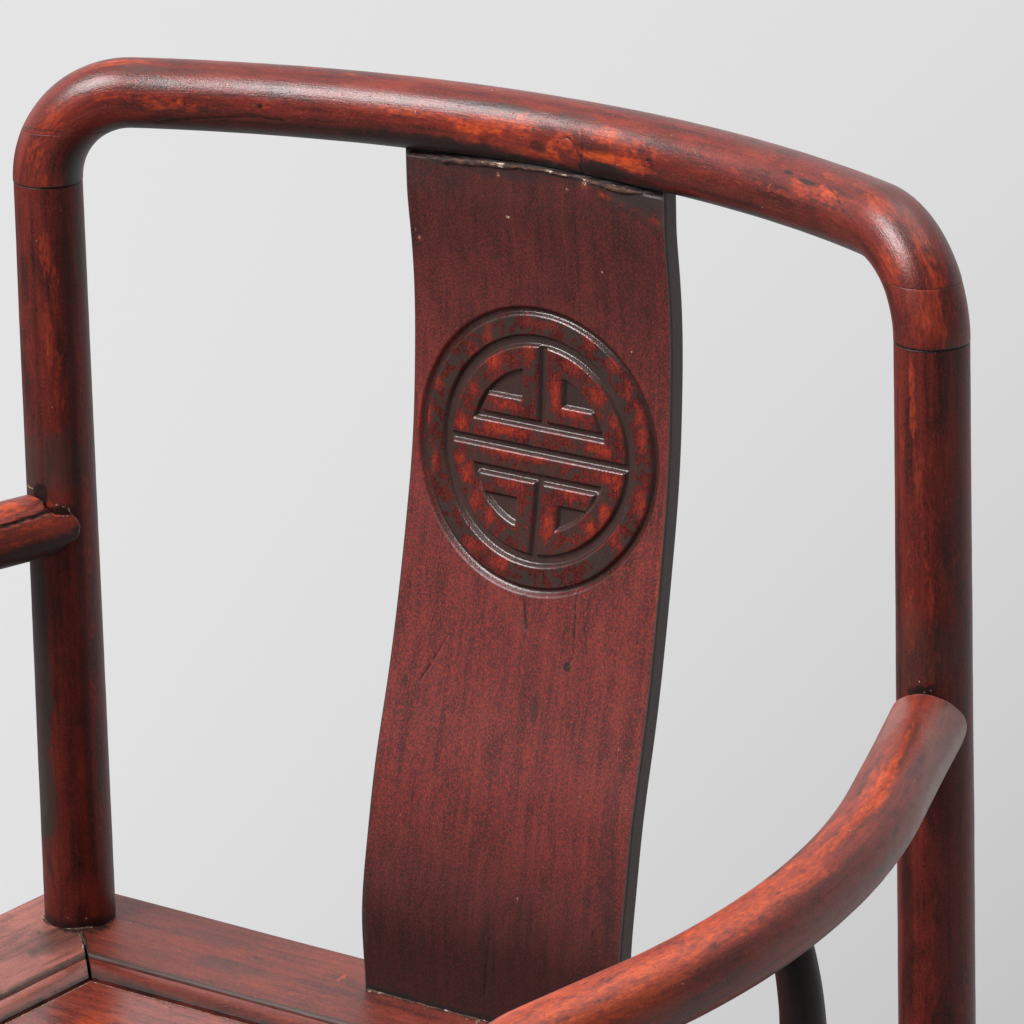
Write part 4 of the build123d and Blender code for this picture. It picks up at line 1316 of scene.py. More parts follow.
def splat_ring():
    """The splat's section: across and depth, from the front face round, and how much of it is face."""
    half = SPLAT_WIDTH / 2
    inner = half - SPLAT_CORNER
    deep = SPLAT_THICKNESS - SPLAT_CORNER
    across = np.linspace(-inner, inner, int(2 * inner / CARVING_STEP))
    face = np.stack((across, np.zeros(across.shape)), -1)
    turn = np.linspace(0, math.pi / 2, 6)[1:]
    near = np.stack((inner + SPLAT_CORNER * np.sin(turn), SPLAT_CORNER * (1 - np.cos(turn))), -1)
    side = np.linspace(SPLAT_CORNER, deep, 8)[1:]
    side = np.stack((np.full(side.shape, half), side), -1)
    far = np.stack((inner + SPLAT_CORNER * np.cos(turn), deep + SPLAT_CORNER * np.sin(turn)), -1)
    back = np.linspace(inner, -inner, 70)[1:-1]
    back = np.stack((back, np.full(back.shape, SPLAT_THICKNESS)), -1)
    right = np.concatenate((near, side, far))
    left = right[::-1] * np.array((-1.0, 1.0))
    return np.concatenate((face, right, back, left)), len(across)


# Marks on the splat: heights above the seat and distances from its middle
SPLAT_MARKS = {
    # The spots at 408 and 412 high are painted shadow under the crest
    "spot grime": (
        (0.55, 154.5, 11.5, 14, 6), (0.8, 164.5, 70.5, 4, 2), (0.4, 108, 62, 60, 10), (0.4, 76, 66, 60, 9),
        (1.0, 177, 27, 3.4, 3.4), (0.5, 155, -64, 8, 3), (0.4, 404, 60, 22, 40), (0.5, 408, -30, 10, 90),
        (0.4, 401, -53, 26, 40), (0.4, 412, 0, 12, 120), (0.34, 34, -1, 60, 15), (0.3, 360, 58, 80, 24),
        (0.2, 350, -50, 60, 30),
    ),
    "spot wear": (
        (0.6, 136.5, 10.5, 22, 8), (1.0, 227, 73, 40, 3), (0.9, 279, -71, 60, 2.4), (0.5, 345, 68, 60, 2.4),
        (0.5, 180, -72, 60, 2.4), (0.25, 372, -8, 40, 20), (1.3, 408.5, 29.5, 5, 5), (1.2, 367, -69, 4, 3),
        (1.0, 405.5, -20, 4, 3),
    ),
    "spot ash": (
        (0.34, 404, -70, 26, 16), (0.32, 406, -20, 7, 90), (0.6, 411, -60, 12, 40), (0.5, 34, -74, 44, 7),
    ),
    "spot pale": (
        (1.0, 66, 15, 1.3, 1.3), (1.1, 405.5, -20, 2.2, 1.8), (1.1, 408.5, 29.5, 2.6, 2.6),
        (1.0, 404, 19.5, 1.4, 1.4), (1.0, 385.5, -15.5, 1.5, 2.6), (1.0, 367.5, -69, 2.4, 1.6),
        (1.0, 366.5, 37, 1.8, 1.5), (0.9, 371, -71, 1.4, 1.2), (0.8, 330, 52, 1.2, 1.2),
    ),
    "line grime": (
        (0.45, 0.5, ((155, -56), (147, -60.5), (138, -63))), (0.5, 0.7, ((190, 1.5), (167, 0))),
        (0.8, 0.45, ((213, 31), (205, 33), (197, 34.5), (187, 37), (177, 39))),
        (0.4, 0.9, ((128, -3.5), (110, -2), (91.5, 1))),
    ),
    "line wear": ((0.85, 2.2, ((404.5, 38), (401, 54), (397.5, 64), (394.5, 73))),),
    "crack grime": (
        (0.8, 0.55, 0.8, 0.4, ((179.5, -42.5), (168, -48.5), (155, -56))),
        (0.85, 1.1, 1.4, 0.5, ((205, -1.5), (198, 0), (190, 1.5))),
        (0.9, 0.8, 1.2, 0.4, ((212.5, 28), (200, 28.6), (192, 29), (183, 29.5), (178, 27.6))),
        (0.7, 0.7, 1.0, 0.5, ((43.5, 0.5), (30, -1), (14, -3.5))),
        (0.6, 0.6, 0.8, 0.4, ((41.5, 4), (28, 3), (20, 2.6))),
    ),
}
# The grey stain in its upper corner, in spots
SPLAT_STAINS = ((410, 64, 18, 40), (412, 44, 11, 34), (401, 75, 18, 8))
# Orange places on the medallion, as on the face, and how much smaller they are drawn
MEDAL_WEAR = (
    (325.5, -31, 14, 8), (316.5, -39.5, 12, 8), (297.5, -60, 9, 7), (282, -65, 14, 5), (330.5, 28, 8, 10),
    (322.5, 41, 12, 9), (311.5, 49.5, 12, 8), (301.5, 56.5, 14, 7), (289.5, 59, 14, 6), (258.5, 60, 16, 8),
    (239.5, 48, 16, 8), (218.5, -17.5, 7, 14), (223.5, -33.5, 9, 14), (260, -60.5, 14, 4), (320, -7, 12, 9),
    (313.5, -28.5, 9, 10), (298, -39, 8, 8), (280, -46, 9, 9), (293, -20, 6, 20), (318, 18.5, 9, 10),
    (305.5, 33, 16, 9), (294.5, 42.5, 12, 8), (295.5, 19, 6, 20), (303.5, 8.5, 20, 7), (280.5, 34, 6, 22),
    (289.5, 46.5, 10, 8), (281, -20, 6, 40), (263.5, -45, 8, 8), (267, 39.5, 8, 24), (256.5, -40.5, 14, 9),
    (244.5, -35, 12, 8), (238.5, -25.5, 10, 8), (265, 45.5, 10, 10), (250.5, 39.5, 14, 9),
    (242.5, 32.5, 10, 8), (255.5, -16.5, 6, 18), (256, 21.5, 6, 16), (335, 0, 6, 20), (270, -10, 6, 50),
    (240, 8, 16, 7),
)
MEDAL_WEAR_SCALE = 0.85


def splat_front(height):
    """How far back the splat's front face lies at a height above the seat."""
    curve = [
        (REAR_Y + SPLAT_REACH * out, SEAT_TOP + SPLAT_CURVE * up) for up, out in SPLAT_CURVE_SHARES
    ]
    line = spline_through(curve, (0, 1), (0, 1), 2000)
    return np.interp(SEAT_TOP + height, line[:, 1], line[:, 0])


def joint_height(across):
    """How high the crest's underside meets the splat's face, less a narrow gap."""
    path = crest_path()
    order = np.argsort(path.points[:, 0])
    crest_y = np.interp(across, path.points[order, 0], path.points[order, 1])
    crest_z = np.interp(across, path.points[order, 0], path.points[order, 2])
    reach = splat_front(JOINT_LEVEL) - crest_y
    return crest_z - np.sqrt(np.maximum(CREST_RADIUS ** 2 - reach ** 2, 0)) - JOINT_GAP


# Where the finishes on the medallion fade: down its carved edges, at the start and the end of the
# trench round it, and beyond it
SUNK_FADE = (-0.1 * MM, 0.7 * MM)
TRENCH_START = (MEDAL_RADIUS - 0.2 * MM, MEDAL_RADIUS + 0.8 * MM)
TRENCH_END = (MEDAL_RADIUS + 1.6 * MM, MEDAL_RADIUS + 3.6 * MM)
MEDAL_FADE = (MEDAL_RADIUS + 1.0 * MM, MEDAL_RADIUS + 6.0 * MM)
# Between which heights the splat's darker foot and head fade, and the painted shadow at its foot's joint and
# just under the crest
FOOT_DARKER, HEAD_DARKER = (15.0 * MM, 130.0 * MM), (250.0 * MM, 400.0 * MM)
FOOT_SHADOW, HEAD_SHADOW = (1.5 * MM, 4.0 * MM), (408.4 * MM, 410.0 * MM)


def paint_medallion(paint, face, x, y):
    """Masks over the medallion on the splat's face, from places about its middle."""
    reach = np.hypot(x, y)
    sunk = ease(-carving_distance(x, y), *SUNK_FADE)
    trench = ease(reach, *TRENCH_START) * (1 - ease(reach, *TRENCH_END))
    medal = 1 - ease(reach, *MEDAL_FADE)
    raised = medal * (1 - np.maximum(sunk, trench))
    rubbed = np.zeros(x.shape)
    for along, across, length, width in MEDAL_WEAR:
        spot = paint.spot(along, across, length * MEDAL_WEAR_SCALE, width * MEDAL_WEAR_SCALE, 0.75)
        rubbed = np.maximum(rubbed, spot[:, face])
    rubbed = rubbed * raised
    patchy = ease(paint.ragged[:, face] + 1.2 * paint.fine[:, face], -0.42, 0.26)
    ring = ease(reach, DISC_RADIUS, RING_INNER)
    greyed = mixed(0.6, 0.74, ring) * raised * (1 - 0.8 * rubbed) * patchy
    layers = {
        "ash": 0.7 * sunk + 0.55 * trench + greyed,
        "shade": mixed(0.42, 0.68, ring) * raised * (1 - rubbed),
        "grime": 0.2 * sunk + 0.4 * trench,
        "wear": mixed(0.95, 0.75, ring) * rubbed,
        "gloss": 1.3 * medal,
    }
    for mask, values in layers.items():
        layer = np.zeros(paint.along.shape)
        layer[:, face] = values
        paint.add(mask, layer)


def paint_darkening_and_shadow(paint, face, depth):
    """A darker foot and head on the splat's face, painted shadow just under the crest and at its foot's
    joint, and greyer, darker sides and a darker back.
    """
    height = paint.along
    on_face = np.zeros(height.shape)
    on_face[:, face] = 1
    foot = 1.1 * (1 - ease(height, *FOOT_DARKER))
    head = 0.7 * ease(height, *HEAD_DARKER) * (1 + 0.5 * paint.ragged)
    bare = 1 - 0.75 * np.clip(paint.masks["wear"], 0, 1)
    paint.add("shade", on_face * np.maximum(foot, head) * bare)
    # Painted shadow just under the crest, and at the foot's joint with the seat
    paint.add("grime", on_face * ease(height + 1.5 * MM * paint.ragged, *HEAD_SHADOW))
    paint.add("grime", on_face * (1 - ease(height + 3 * MM * paint.ragged, *FOOT_SHADOW)))
    side = (1 - on_face) * (depth < SPLAT_THICKNESS - 0.1 * MM)
    back = (1 - on_face) * (1 - side)
    paint.add("ash", 1.45 * side)
    paint.add("shade", 0.16 * side + back * (0.45 + 0.5 * paint.ragged))


def splat(finish):
    """The carved S-shaped board."""
    height = splat_rows()
    ring, count = splat_ring()
    x, z = np.meshgrid(ring[:, 0], height)
    depth = np.broadcast_to(ring[:, 1], x.shape).copy()
    face = slice(0, count)
    face_x = x[:, face] - MEDAL_OFFSET
    face_z = (z[:, face] - MEDAL_HEIGHT) / MEDAL_SQUASH
    surface = np.stack((x, np.zeros(x.shape), z), -1)
    paint = Paint(z, x, surface, 31)
    cut = paint.mark(SPLAT_MARKS)
    for stain in SPLAT_STAINS:
        paint.add("ash", paint.spot(*stain, soft=0.85))
    paint_medallion(paint, face, face_x, face_z)
    paint_darkening_and_shadow(paint, face, depth)

    above = z[:, face] - (joint_height(ring[face, 0]) - SEAT_TOP)
    depth[:, face] += HEAD_RECESS * ease(above, -1.2 * MM, 0)
    uneven = SPLAT_UNEVEN * ragged(surface[:, face], SPLAT_LUMPS, 31)
    depth[:, face] += carving_depth(face_x, face_z) + uneven
    depth[:, face] += cut[:, face]
    points = np.stack((x, splat_front(height)[:, None] + depth, SEAT_TOP + z), -1)
    points[..., 0] *= 1 + SPLAT_SPREAD * (1 - ease(z, SPREAD_LOW, SPREAD_HIGH))
    grain = np.stack((x, depth, z), -1)
    piece = skin("splat_board", points, grain, paint.masks)
    return dress(piece, finish, "splat_wood", "splat")


# Filler in the joints

# Radii at distances from the splat's middle, under the crest and at the splat's foot
CREST_FILLER = (
    (-70, 0.7), (-56, 1.1), (-52, 2.3), (-30, 2.2), (-12, 2.0), (-8, 1.5), (18, 1.6), (24, 1.2), (34, 1.9),
    (52, 2.2), (62, 0.8),
)
FOOT_FILLER = ((-75, 1.4), (-73, 1.4), (-66, 1.2), (-30, 1.0), (0, 0.9), (73, 1.2), (75, 1.2))
# Places on the seat along the mitre, and radii there
MITRE_FILLER = ((-240, 150.8, 1.2), (-236, 146, 0.9), (-231, 142.4, 1.1), (-227, 138, 0.8))
# Round a rear post: the angles between which it runs, how far it stands off the post and lies below
# the seat's top, and its radius, which swings up and down in waves
POST_FILLER_ENDS = (-100, 70)
POST_FILLER_OUT, POST_FILLER_SUNK = 0.2 * MM, 0.1 * MM
POST_FILLER_SIZE, POST_FILLER_SWING, POST_FILLER_WAVES = 0.9 * MM, 0.5 * MM, 5


def bead(name, places, radii, finish, slot, seed):
    """A ragged string of filler through places, with a radius at each of them."""
    steps = np.concatenate(([0.0], np.cumsum(np.linalg.norm(np.diff(places, axis=0), axis=1))))
    fine = np.linspace(0, steps[-1], int(steps[-1] / BEAD_STEP))
    line = np.stack([np.interp(fine, steps, places[:, axis]) for axis in range(3)], -1)

    def radius(distance):
        return np.interp(distance, steps, radii)

    end = 0.6 * float(min(radii))
    bar = Bar(
        Path(line, UP), radius, rounds=(end, end), step=BEAD_STEP, sides=BEAD_SIDES, seed=seed,
        uneven=0.5 * float(max(radii)), lumps=BEAD_LUMPS,
    )
    return bar.make(name, finish, slot)


def across_splat(table, count):
    """Places across the splat and the filler's radius there, from a table of both."""
    places, radii = np.transpose(table)
    across = np.linspace(places[0], places[-1], count)
    return across * MM, np.interp(across, places, radii) * MM


def fillers(finish):
    """The filler under the crest, at the splat's foot, in the mitre and round the posts."""
    across, thick = across_splat(CREST_FILLER, 60)
    out = splat_front(JOINT_LEVEL) + 0.1 * thick
    joint = np.stack((across, out, joint_height(across) - 0.85 * thick), -1)
    bead("filler_crest", joint, thick, finish, "splat_wood", 91)

    across, thick = across_splat(FOOT_FILLER, 50)
    every = np.ones(across.shape)
    foot = np.stack((across, splat_front(0) * every, SEAT_TOP * every), -1)
    bead("filler_splat_foot", foot, thick, finish, "splat_wood", 92)

    mitre = np.array(MITRE_FILLER) * MM
    thick = mitre[:, 2].copy()
    mitre[:, 2] = SEAT_TOP
    bead("filler_mitre", mitre, thick, finish, "frame_wood", 95)

    turn = np.radians(np.linspace(*POST_FILLER_ENDS, 60))
    reach = POST_RADIUS + POST_FILLER_OUT
    for hand, side, seed in ((-1, "left", 93), (1, "right", 94)):
        ring = np.stack((
            hand * (POST_X + reach * np.sin(turn)), REAR_Y - reach * np.cos(turn),
            np.full(turn.shape, SEAT_TOP - POST_FILLER_SUNK),
        ), -1)
        thick = POST_FILLER_SIZE + POST_FILLER_SWING * np.sin(turn * POST_FILLER_WAVES + seed)
        bead(f"filler_post_{side}", ring, thick, finish, "post_wood", seed)


# Seat frame and panel

def rail_outline():
    """The moulding of a seat rail: inward distance and height, from the outer lip round."""
    def arc(centre_x, centre_y, radius, start, end, count):
        turn = np.radians(np.linspace(start, end, count))
        return np.stack((centre_x + radius * np.cos(turn), centre_y + radius * np.sin(turn)), -1)

    def run(start, end, step):
        count = max(2, int(math.dist(start, end) / step))
        shares = np.linspace(0, 1, count)[:, None]
        return np.asarray(start) + shares * np.subtract(end, start)

    lip = RAIL_FLAT + QUIRK_WIDTH
    fall = np.linspace(0, 1, 24)
    curve = np.stack((
        mixed(lip, RAIL_WIDTH, fall), -mixed(LIP_DROP, CURVE_DROP, fall ** CURVE_POWER)
    ), -1)
    bottom = SEAT_BOTTOM - SEAT_TOP
    pieces = [
        arc(EDGE_ROUND, -EDGE_ROUND, EDGE_ROUND, 180, 90, 7),
        run((EDGE_ROUND, 0), (RAIL_FLAT - ARRIS, 0), 4 * MM)[1:],
        arc(RAIL_FLAT - ARRIS, -ARRIS, ARRIS, 90, 20, 6)[1:],
        run((RAIL_FLAT + 0.3 * MM, -ARRIS), (RAIL_FLAT + 0.6 * MM, -QUIRK_DEPTH), 0.7 * MM),
        run((RAIL_FLAT + 1.0 * MM, -QUIRK_DEPTH), (RAIL_FLAT + 1.7 * MM, -QUIRK_DEPTH), 0.35 * MM),
        run((lip - 0.4 * MM, -QUIRK_DEPTH + 0.6 * MM), (lip - 0.15 * MM, -LIP_DROP - 0.3 * MM), 0.3 * MM),
        curve,
        run((RAIL_WIDTH, -CURVE_DROP - 0.6 * MM), (RAIL_WIDTH, bottom), 3 * MM),
        run((RAIL_WIDTH, bottom), (EDGE_UNDERCUT, bottom), 6 * MM)[1:],
        run((EDGE_UNDERCUT, bottom), (EDGE_STEP, -EDGE_LIP), 2 * MM)[1:],
        run((EDGE_STEP, -EDGE_LIP), (0, -EDGE_LIP), 1 * MM)[1:],
        run((0, -EDGE_LIP), (0, -EDGE_ROUND), 2 * MM)[1:-1],
    ]
    return np.concatenate(pieces)


# Marks on the seat's top: distances back and to the right of its middle
SEAT_MARKS = {
    "spot wear": (
        (1.5, 176, -95, 9, 3.4), (0.35, 146, -120, 14, 50), (0.3, 60, -275, 60, 14),
        (0.4, 140, -205, 10, 30),
    ),
    "spot grime": (
        (0.3, 156, -150, 18, 60), (0.9, 152, -248, 10, 14), (0.8, 160, -236, 14, 8), (0.5, 168, -76, 5, 20),
    ),
    "spot ash": ((0.35, 156, -150, 20, 70), (0.35, 120, -240, 24, 16), (0.3, 180, -180, 20, 60)),
    # A painted reflection of the left post in the glossy top
    "spot shade": ((0.8, 138, -242, 42, 30),),
    "spot pale": (
        (1.0, 164.4, -33, 1.6, 3), (1.0, 165.6, -27, 1.4, 3.4), (1.1, 166.6, -19, 1.8, 3),
        (1.1, 167.4, -13, 1.6, 2.4), (1.0, 168, -7, 1.6, 3), (0.9, 171.4, -61, 1.4, 1.6),
        (1.0, 166, -23, 1.2, 1.6),
    ),
    "line grime": (
        (0.8, 0.7, ((118, -265), (134, -265.5), (149, -265))), (0.7, 0.6, ((132, -257), (142, -257))),
        (0.7, 0.6, ((155, -279), (164, -277))), (0.9, 1.0, ((173, -95), (180, -92), (180, -86))),
        (0.5, 0.7, ((174, -177), (175, -168), (172, -140))),
        (0.4, 0.6, ((160, -200), (163, -130), (160, -60))), (0.5, 0.8, ((179, -238), (181, -228))),
    ),
    "line pale": ((1.0, 0.9, ((148, -239), (141, -232), (134, -225))),),
}


# Painted strips along the moulding, each with its middle and its width, and the depths at which
# the arris's and the ridge's end and the quirk's starts
ARRIS_STRIP, ARRIS_DEPTH = (RAIL_FLAT - 0.4 * MM, 1.7 * MM), 1.8 * MM
RIDGE_STRIP, RIDGE_DEPTH = (RAIL_FLAT + QUIRK_WIDTH + 6.0 * MM, 2.6 * MM), 6.0 * MM
QUIRK_STRIP, QUIRK_START = (RAIL_FLAT + QUIRK_WIDTH / 2, 1.0 * MM), 1.3 * MM
# Where the dirt and the shade at the inner edge start and end, and how deep that dirt goes
INNER_DIRT, INNER_DEPTH = (RAIL_WIDTH - 3.2 * MM, RAIL_WIDTH - 0.6 * MM), 8.0 * MM
INNER_SHADE = (RAIL_WIDTH - 9.0 * MM, RAIL_WIDTH - 1.0 * MM)
# How far from a mitre its dirt fades
MITRE_DIRT = (0.2 * MM, 1.6 * MM)
RAIL_GRAIN_SHIFT = 0.31


def paint_rail(paint, x, z, to_end):
    """Marks, wear, dirt and sheen on one rail, at inward distances, heights and ways to its ends."""
    top = z > -EDGE_LIP / 2
    paint.mark(SEAT_MARKS)
    for mask in paint.masks:
        paint.masks[mask] = paint.masks[mask] * top
    uneven = 1 + 1.2 * paint.ragged + 0.5 * paint.fine
    arris = hump(x, *ARRIS_STRIP) * (z > -ARRIS_DEPTH)
    ridge = hump(x, *RIDGE_STRIP) * (z > -RIDGE_DEPTH)
    quirk = hump(x, *QUIRK_STRIP) * (z < -QUIRK_START)
    inner = ease(x, *INNER_DIRT) * (z > -INNER_DEPTH)
    paint.add("wear", 0.42 * ridge * uneven)
    paint.add("shade", 0.75 * ease(x, *INNER_SHADE) * top)
    paint.add("ash", 0.8 * arris * uneven)
    paint.add("grime", np.maximum(0.95 * quirk, 0.55 * inner * uneven))
    paint.add("grime", 0.6 * (1 - ease(to_end, *MITRE_DIRT)) * top)
    paint.add("gloss", 0.7 * (x > RAIL_FLAT) * top)


def seat_rail(side, middle, along, inward, half_length, finish, seed):
    """One moulded rail with mitred ends; along and inward are its directions."""
    depth, height = rail_outline().T
    opening = MITRE_OPENING * ease(depth, MITRE_START, RAIL_WIDTH) + MITRE_GAP
    opening = opening * (1 - ease(-height, *MITRE_DEPTHS))
    half = half_length - depth - opening
    shares = end_places(2 * half_length, RAIL_STEP, BAR_ROUND, BAR_ROUND)[:, None] * 2 - 1
    place = shares * half
    x = np.broadcast_to(depth, place.shape)
    z = np.broadcast_to(height, place.shape)
    base = np.asarray(middle) + SEAT_TOP * UP
    points = base + place[..., None] * along + x[..., None] * inward + z[..., None] * UP
    to_end = half - np.abs(place)
    sink = RAIL_UNEVEN * ragged(points, RAIL_LUMPS, seed) + end_dip(to_end, RAIL_ROUND)
    points[..., 2] -= sink * (z > -EDGE_LIP / 2)
    grain = np.stack((x, z, place), -1) + seed * RAIL_GRAIN_SHIFT
    paint = Paint(points[..., 1], points[..., 0], points, seed)
    paint_rail(paint, x, z, to_end)
    piece = skin(f"rail_{side}", points, grain, paint.masks, sharp=40)
    return dress(piece, finish, "frame_wood", f"seat_rail_{side}")


def seat_frame(finish, reflection_finish):
    """The four rails, the left one paler with a painted reflection of the bright wall."""
    seat_rail("back", (0, SEAT_BACK_Y, 0), RIGHT, -BACK, HALF_WIDTH, finish, 41)
    seat_rail("front", (0, SEAT_FRONT_Y, 0), -RIGHT, BACK, HALF_WIDTH, finish, 42)
    seat_rail("left", (-HALF_WIDTH, SEAT_MIDDLE_Y, 0), BACK, RIGHT, HALF_DEPTH, reflection_finish, 43)
    seat_rail("right", (HALF_WIDTH, SEAT_MIDDLE_Y, 0), -BACK, -RIGHT, HALF_DEPTH, finish, 44)


# Marks on the panel, as on the seat's top
PANEL_MARKS = {
    "spot wear": (
        (0.8, 75, -170, 30, 18), (0.5, 96, -179, 20, 7), (0.45, 60, -150, 60, 24), (0.5, 0, 0, 160, 200),
        (0.5, -60, 60, 90, 120),
    ),
    "spot ash": ((0.3, 92, -150, 14, 50),),
    "spot pale": ((0.9, 98, -176, 1.4, 1.4),),
    "spot grime": ((0.4, 70, -120, 6, 40),),
}
# The panel's rings: shares of the way in to its middle, distances from its edge over the flat,
# and then reaches and drops round the softened edge
PANEL_SHARES = (0.8, 0.6, 0.4, 0.2)
PANEL_FLAT = (60, 54, 48, 42, 37, 32, 28, 24, 20, 17, 14, 11.5, 9, 7, 5, 4)
PANEL_ROUND = ((-3, 0.05), (-2.4, 0.08), (-1.9, 0.13), (-1.4, 0.2), (-0.9, 0.36), (-0.5, 0.6), (0, 1.3))


# How deep the panel's unevenness reaches, how far from its edge its wear and its dirt fade, and the
# middle and the width of the pale line along its edge
PANEL_FACE = 2.0 * MM
PANEL_WORN, PANEL_DIRT = (10.0 * MM, 60.0 * MM), (0.2 * MM, 1.4 * MM)
PANEL_LINE = (1.5 * MM, 0.7 * MM)
PANEL_GRAIN_SHIFT = 3.1


def paint_board(paint, away):
    """Marks, wear and dirt on the panel, at distances from its edge."""
    uneven = 1 + 1.2 * paint.ragged + 0.8 * paint.fine
    paint.mark(PANEL_MARKS)
    paint.add("wear", 0.45 * ease(away, *PANEL_WORN))
    paint.add("grime", 0.8 * (1 - ease(away, *PANEL_DIRT)))
    paint.add("pale", 1.05 * uneven * hump(away, *PANEL_LINE))
    paint.add("gloss", np.full(away.shape, 0.8))


def seat_board(finish):
    """The floating panel with its tongue."""
    half_x = HALF_WIDTH - RAIL_WIDTH - PANEL_GAP
    half_y = HALF_DEPTH - RAIL_WIDTH - PANEL_GAP
    tongue = PANEL_GAP + TONGUE_LENGTH
    tongue_low = TONGUE_DROP + TONGUE_THICKNESS
    rims = [
        *((-distance * MM, 0.0) for distance in PANEL_FLAT),
        *((out * MM, drop * MM) for out, drop in PANEL_ROUND),
        (0.0, TONGUE_DROP), (tongue, TONGUE_DROP), (tongue, tongue_low), (0.0, tongue_low),
        (0.0, PANEL_THICKNESS),
    ]
    xs = np.linspace(-1, 1, int(2 * half_x / PANEL_STEP))[:-1]
    ys = np.linspace(-1, 1, int(2 * half_y / PANEL_STEP))[:-1]
    edge_x = np.concatenate((xs, np.ones(ys.shape), -xs, -np.ones(ys.shape)))
    edge_y = np.concatenate((-np.ones(xs.shape), ys, np.ones(xs.shape), -ys))
    rings = []
    for out, drop in rims:
        level = np.full(edge_x.shape, PANEL_TOP - drop)
        ring = (edge_x * (half_x + out), SEAT_MIDDLE_Y + edge_y * (half_y + out), level)
        rings.append(np.stack(ring, -1))
    middle = np.array((0, SEAT_MIDDLE_Y, PANEL_TOP))
    inner = [mixed(rings[0], middle, share) for share in PANEL_SHARES]
    points = np.stack(inner + rings)
    sink = PANEL_UNEVEN * ragged(points, PANEL_LUMPS, 51)
    points[..., 2] -= sink * (points[..., 2] > PANEL_TOP - PANEL_FACE)
    x, y, z = np.moveaxis(points, -1, 0)
    away = np.minimum(half_x - np.abs(x), half_y - np.abs(y - SEAT_MIDDLE_Y))
    paint = Paint(y, x, points, 52)
    paint_board(paint, away)
    grain = np.stack((y, z, x), -1) + PANEL_GRAIN_SHIFT
    masks = {mask: values[::-1] for mask, values in paint.masks.items()}
    piece = skin("seat_board", points[::-1], grain[::-1], masks, sharp=40)
    return dress(piece, finish, "panel_wood", "seat_panel")


# Stretchers

def rounded_section(width, height, corner, count):
    """A rectangle with rounded corners, as points about its middle, going round from the right."""
    turn = np.arange(count) * 2 * math.pi / count + math.pi / count
    power = 2.0 + 5.0 * (1 - corner / (min(width, height) / 2))
    cos, sin = np.cos(turn), np.sin(turn)
    x = np.sign(cos) * np.abs(cos) ** (2 / power) * width / 2
    y = np.sign(sin) * np.abs(sin) ** (2 / power) * height / 2
    return np.stack((x, y), -1)


def stretcher(name, node, start, end, height, section, finish, seed, wear_top=0.4):
    """A rounded bar between two legs, hollowed to fit round them."""
    start, end = np.asarray((*start, height)), np.asarray((*end, height))
    along = unit(end - start)
    side = np.cross(UP, along)
    length = np.linalg.norm(end - start)
    width, thickness, _ = section
    ring_x, ring_z = rounded_section(*section, STRETCHER_SIDES).T
    reach = np.sqrt(np.maximum((LEG_RADIUS + STRETCHER_GAP) ** 2 - ring_x ** 2, 0))
    half = length / 2 - reach
    shares = end_places(length, COARSE_STEP, STRETCHER_ROUND, STRETCHER_ROUND)[:, None] * 2 - 1
    place = shares * half
    dip = 1 - end_dip(half - np.abs(place), STRETCHER_ROUND) / (thickness / 2)
    across, rise = ring_x * dip, ring_z * dip

    def points_at(push):
        """Points round the bar, pushed out by a share."""
        line = (start + end) / 2 + place[..., None] * along
        return line + (across * push)[..., None] * side + (rise * push)[..., None] * UP

    points = points_at(1 - STRETCHER_UNEVEN * ragged(points_at(1), STRETCHER_LUMPS, seed))
    grain = np.stack((across, rise, place), -1) + seed * 0.23
    edge = np.abs(ring_x) / (width / 2) * np.abs(ring_z) / (thickness / 2)
    top = ease(ring_z / (thickness / 2), 0.3, 0.9)
    near = 1 - ease(half - np.abs(place), 0, 10 * MM)
    masks = {"wear": np.broadcast_to(0.5 * edge + wear_top * top, place.shape), "grime": 0.7 * near}
    piece = skin(name, points, grain, masks, sharp=50)
    return dress(piece, finish, "lower_wood", node)


def stretchers(finish):
    """The foot rail, the side stretchers and the back one."""
    rail_height = FOOT_RAIL_TOP - FOOT_RAIL_SECTION[1] / 2
    stretcher("foot_bar", "foot_rail", (-POST_X, FRONT_Y), (POST_X, FRONT_Y), rail_height,
              FOOT_RAIL_SECTION, finish, 61, 0.9)
    stretcher("back_bar", "back_stretcher", (-POST_X, REAR_Y), (POST_X, REAR_Y), BACK_STRETCHER_HEIGHT,
              STRETCHER_SECTION, finish, 62)
    for hand, side in ((1, "right"), (-1, "left")):
        stretcher(f"side_bar_{side}", f"side_stretcher_{side}", (hand * POST_X, FRONT_Y),
                  (hand * POST_X, REAR_Y), SIDE_STRETCHER_HEIGHT, STRETCHER_SECTION, finish, 63 + hand)


# Aprons

def apron_outline(half, head_drop, head_width, curve):
    """A board's outline: straight on top, with a deeper head at each end."""
    inner = half - head_width
    turn = np.linspace(0, math.pi / 2, 12)
    sweep = [
        (inner - curve * (1 - math.cos(a)), -APRON_HEIGHT - curve * (1 - math.sin(a))) for a in turn
    ]
    right = [(half, 0), (half, -head_drop), (inner, -head_drop), *sweep]
    return right + [(-x, z) for x, z in reversed(right)]


def plain_outline(left, right, low, high):
    """A rectangle, as corners that go round the way an apron's do."""
    return [(right, high), (right, low), (left, low), (left, high)]


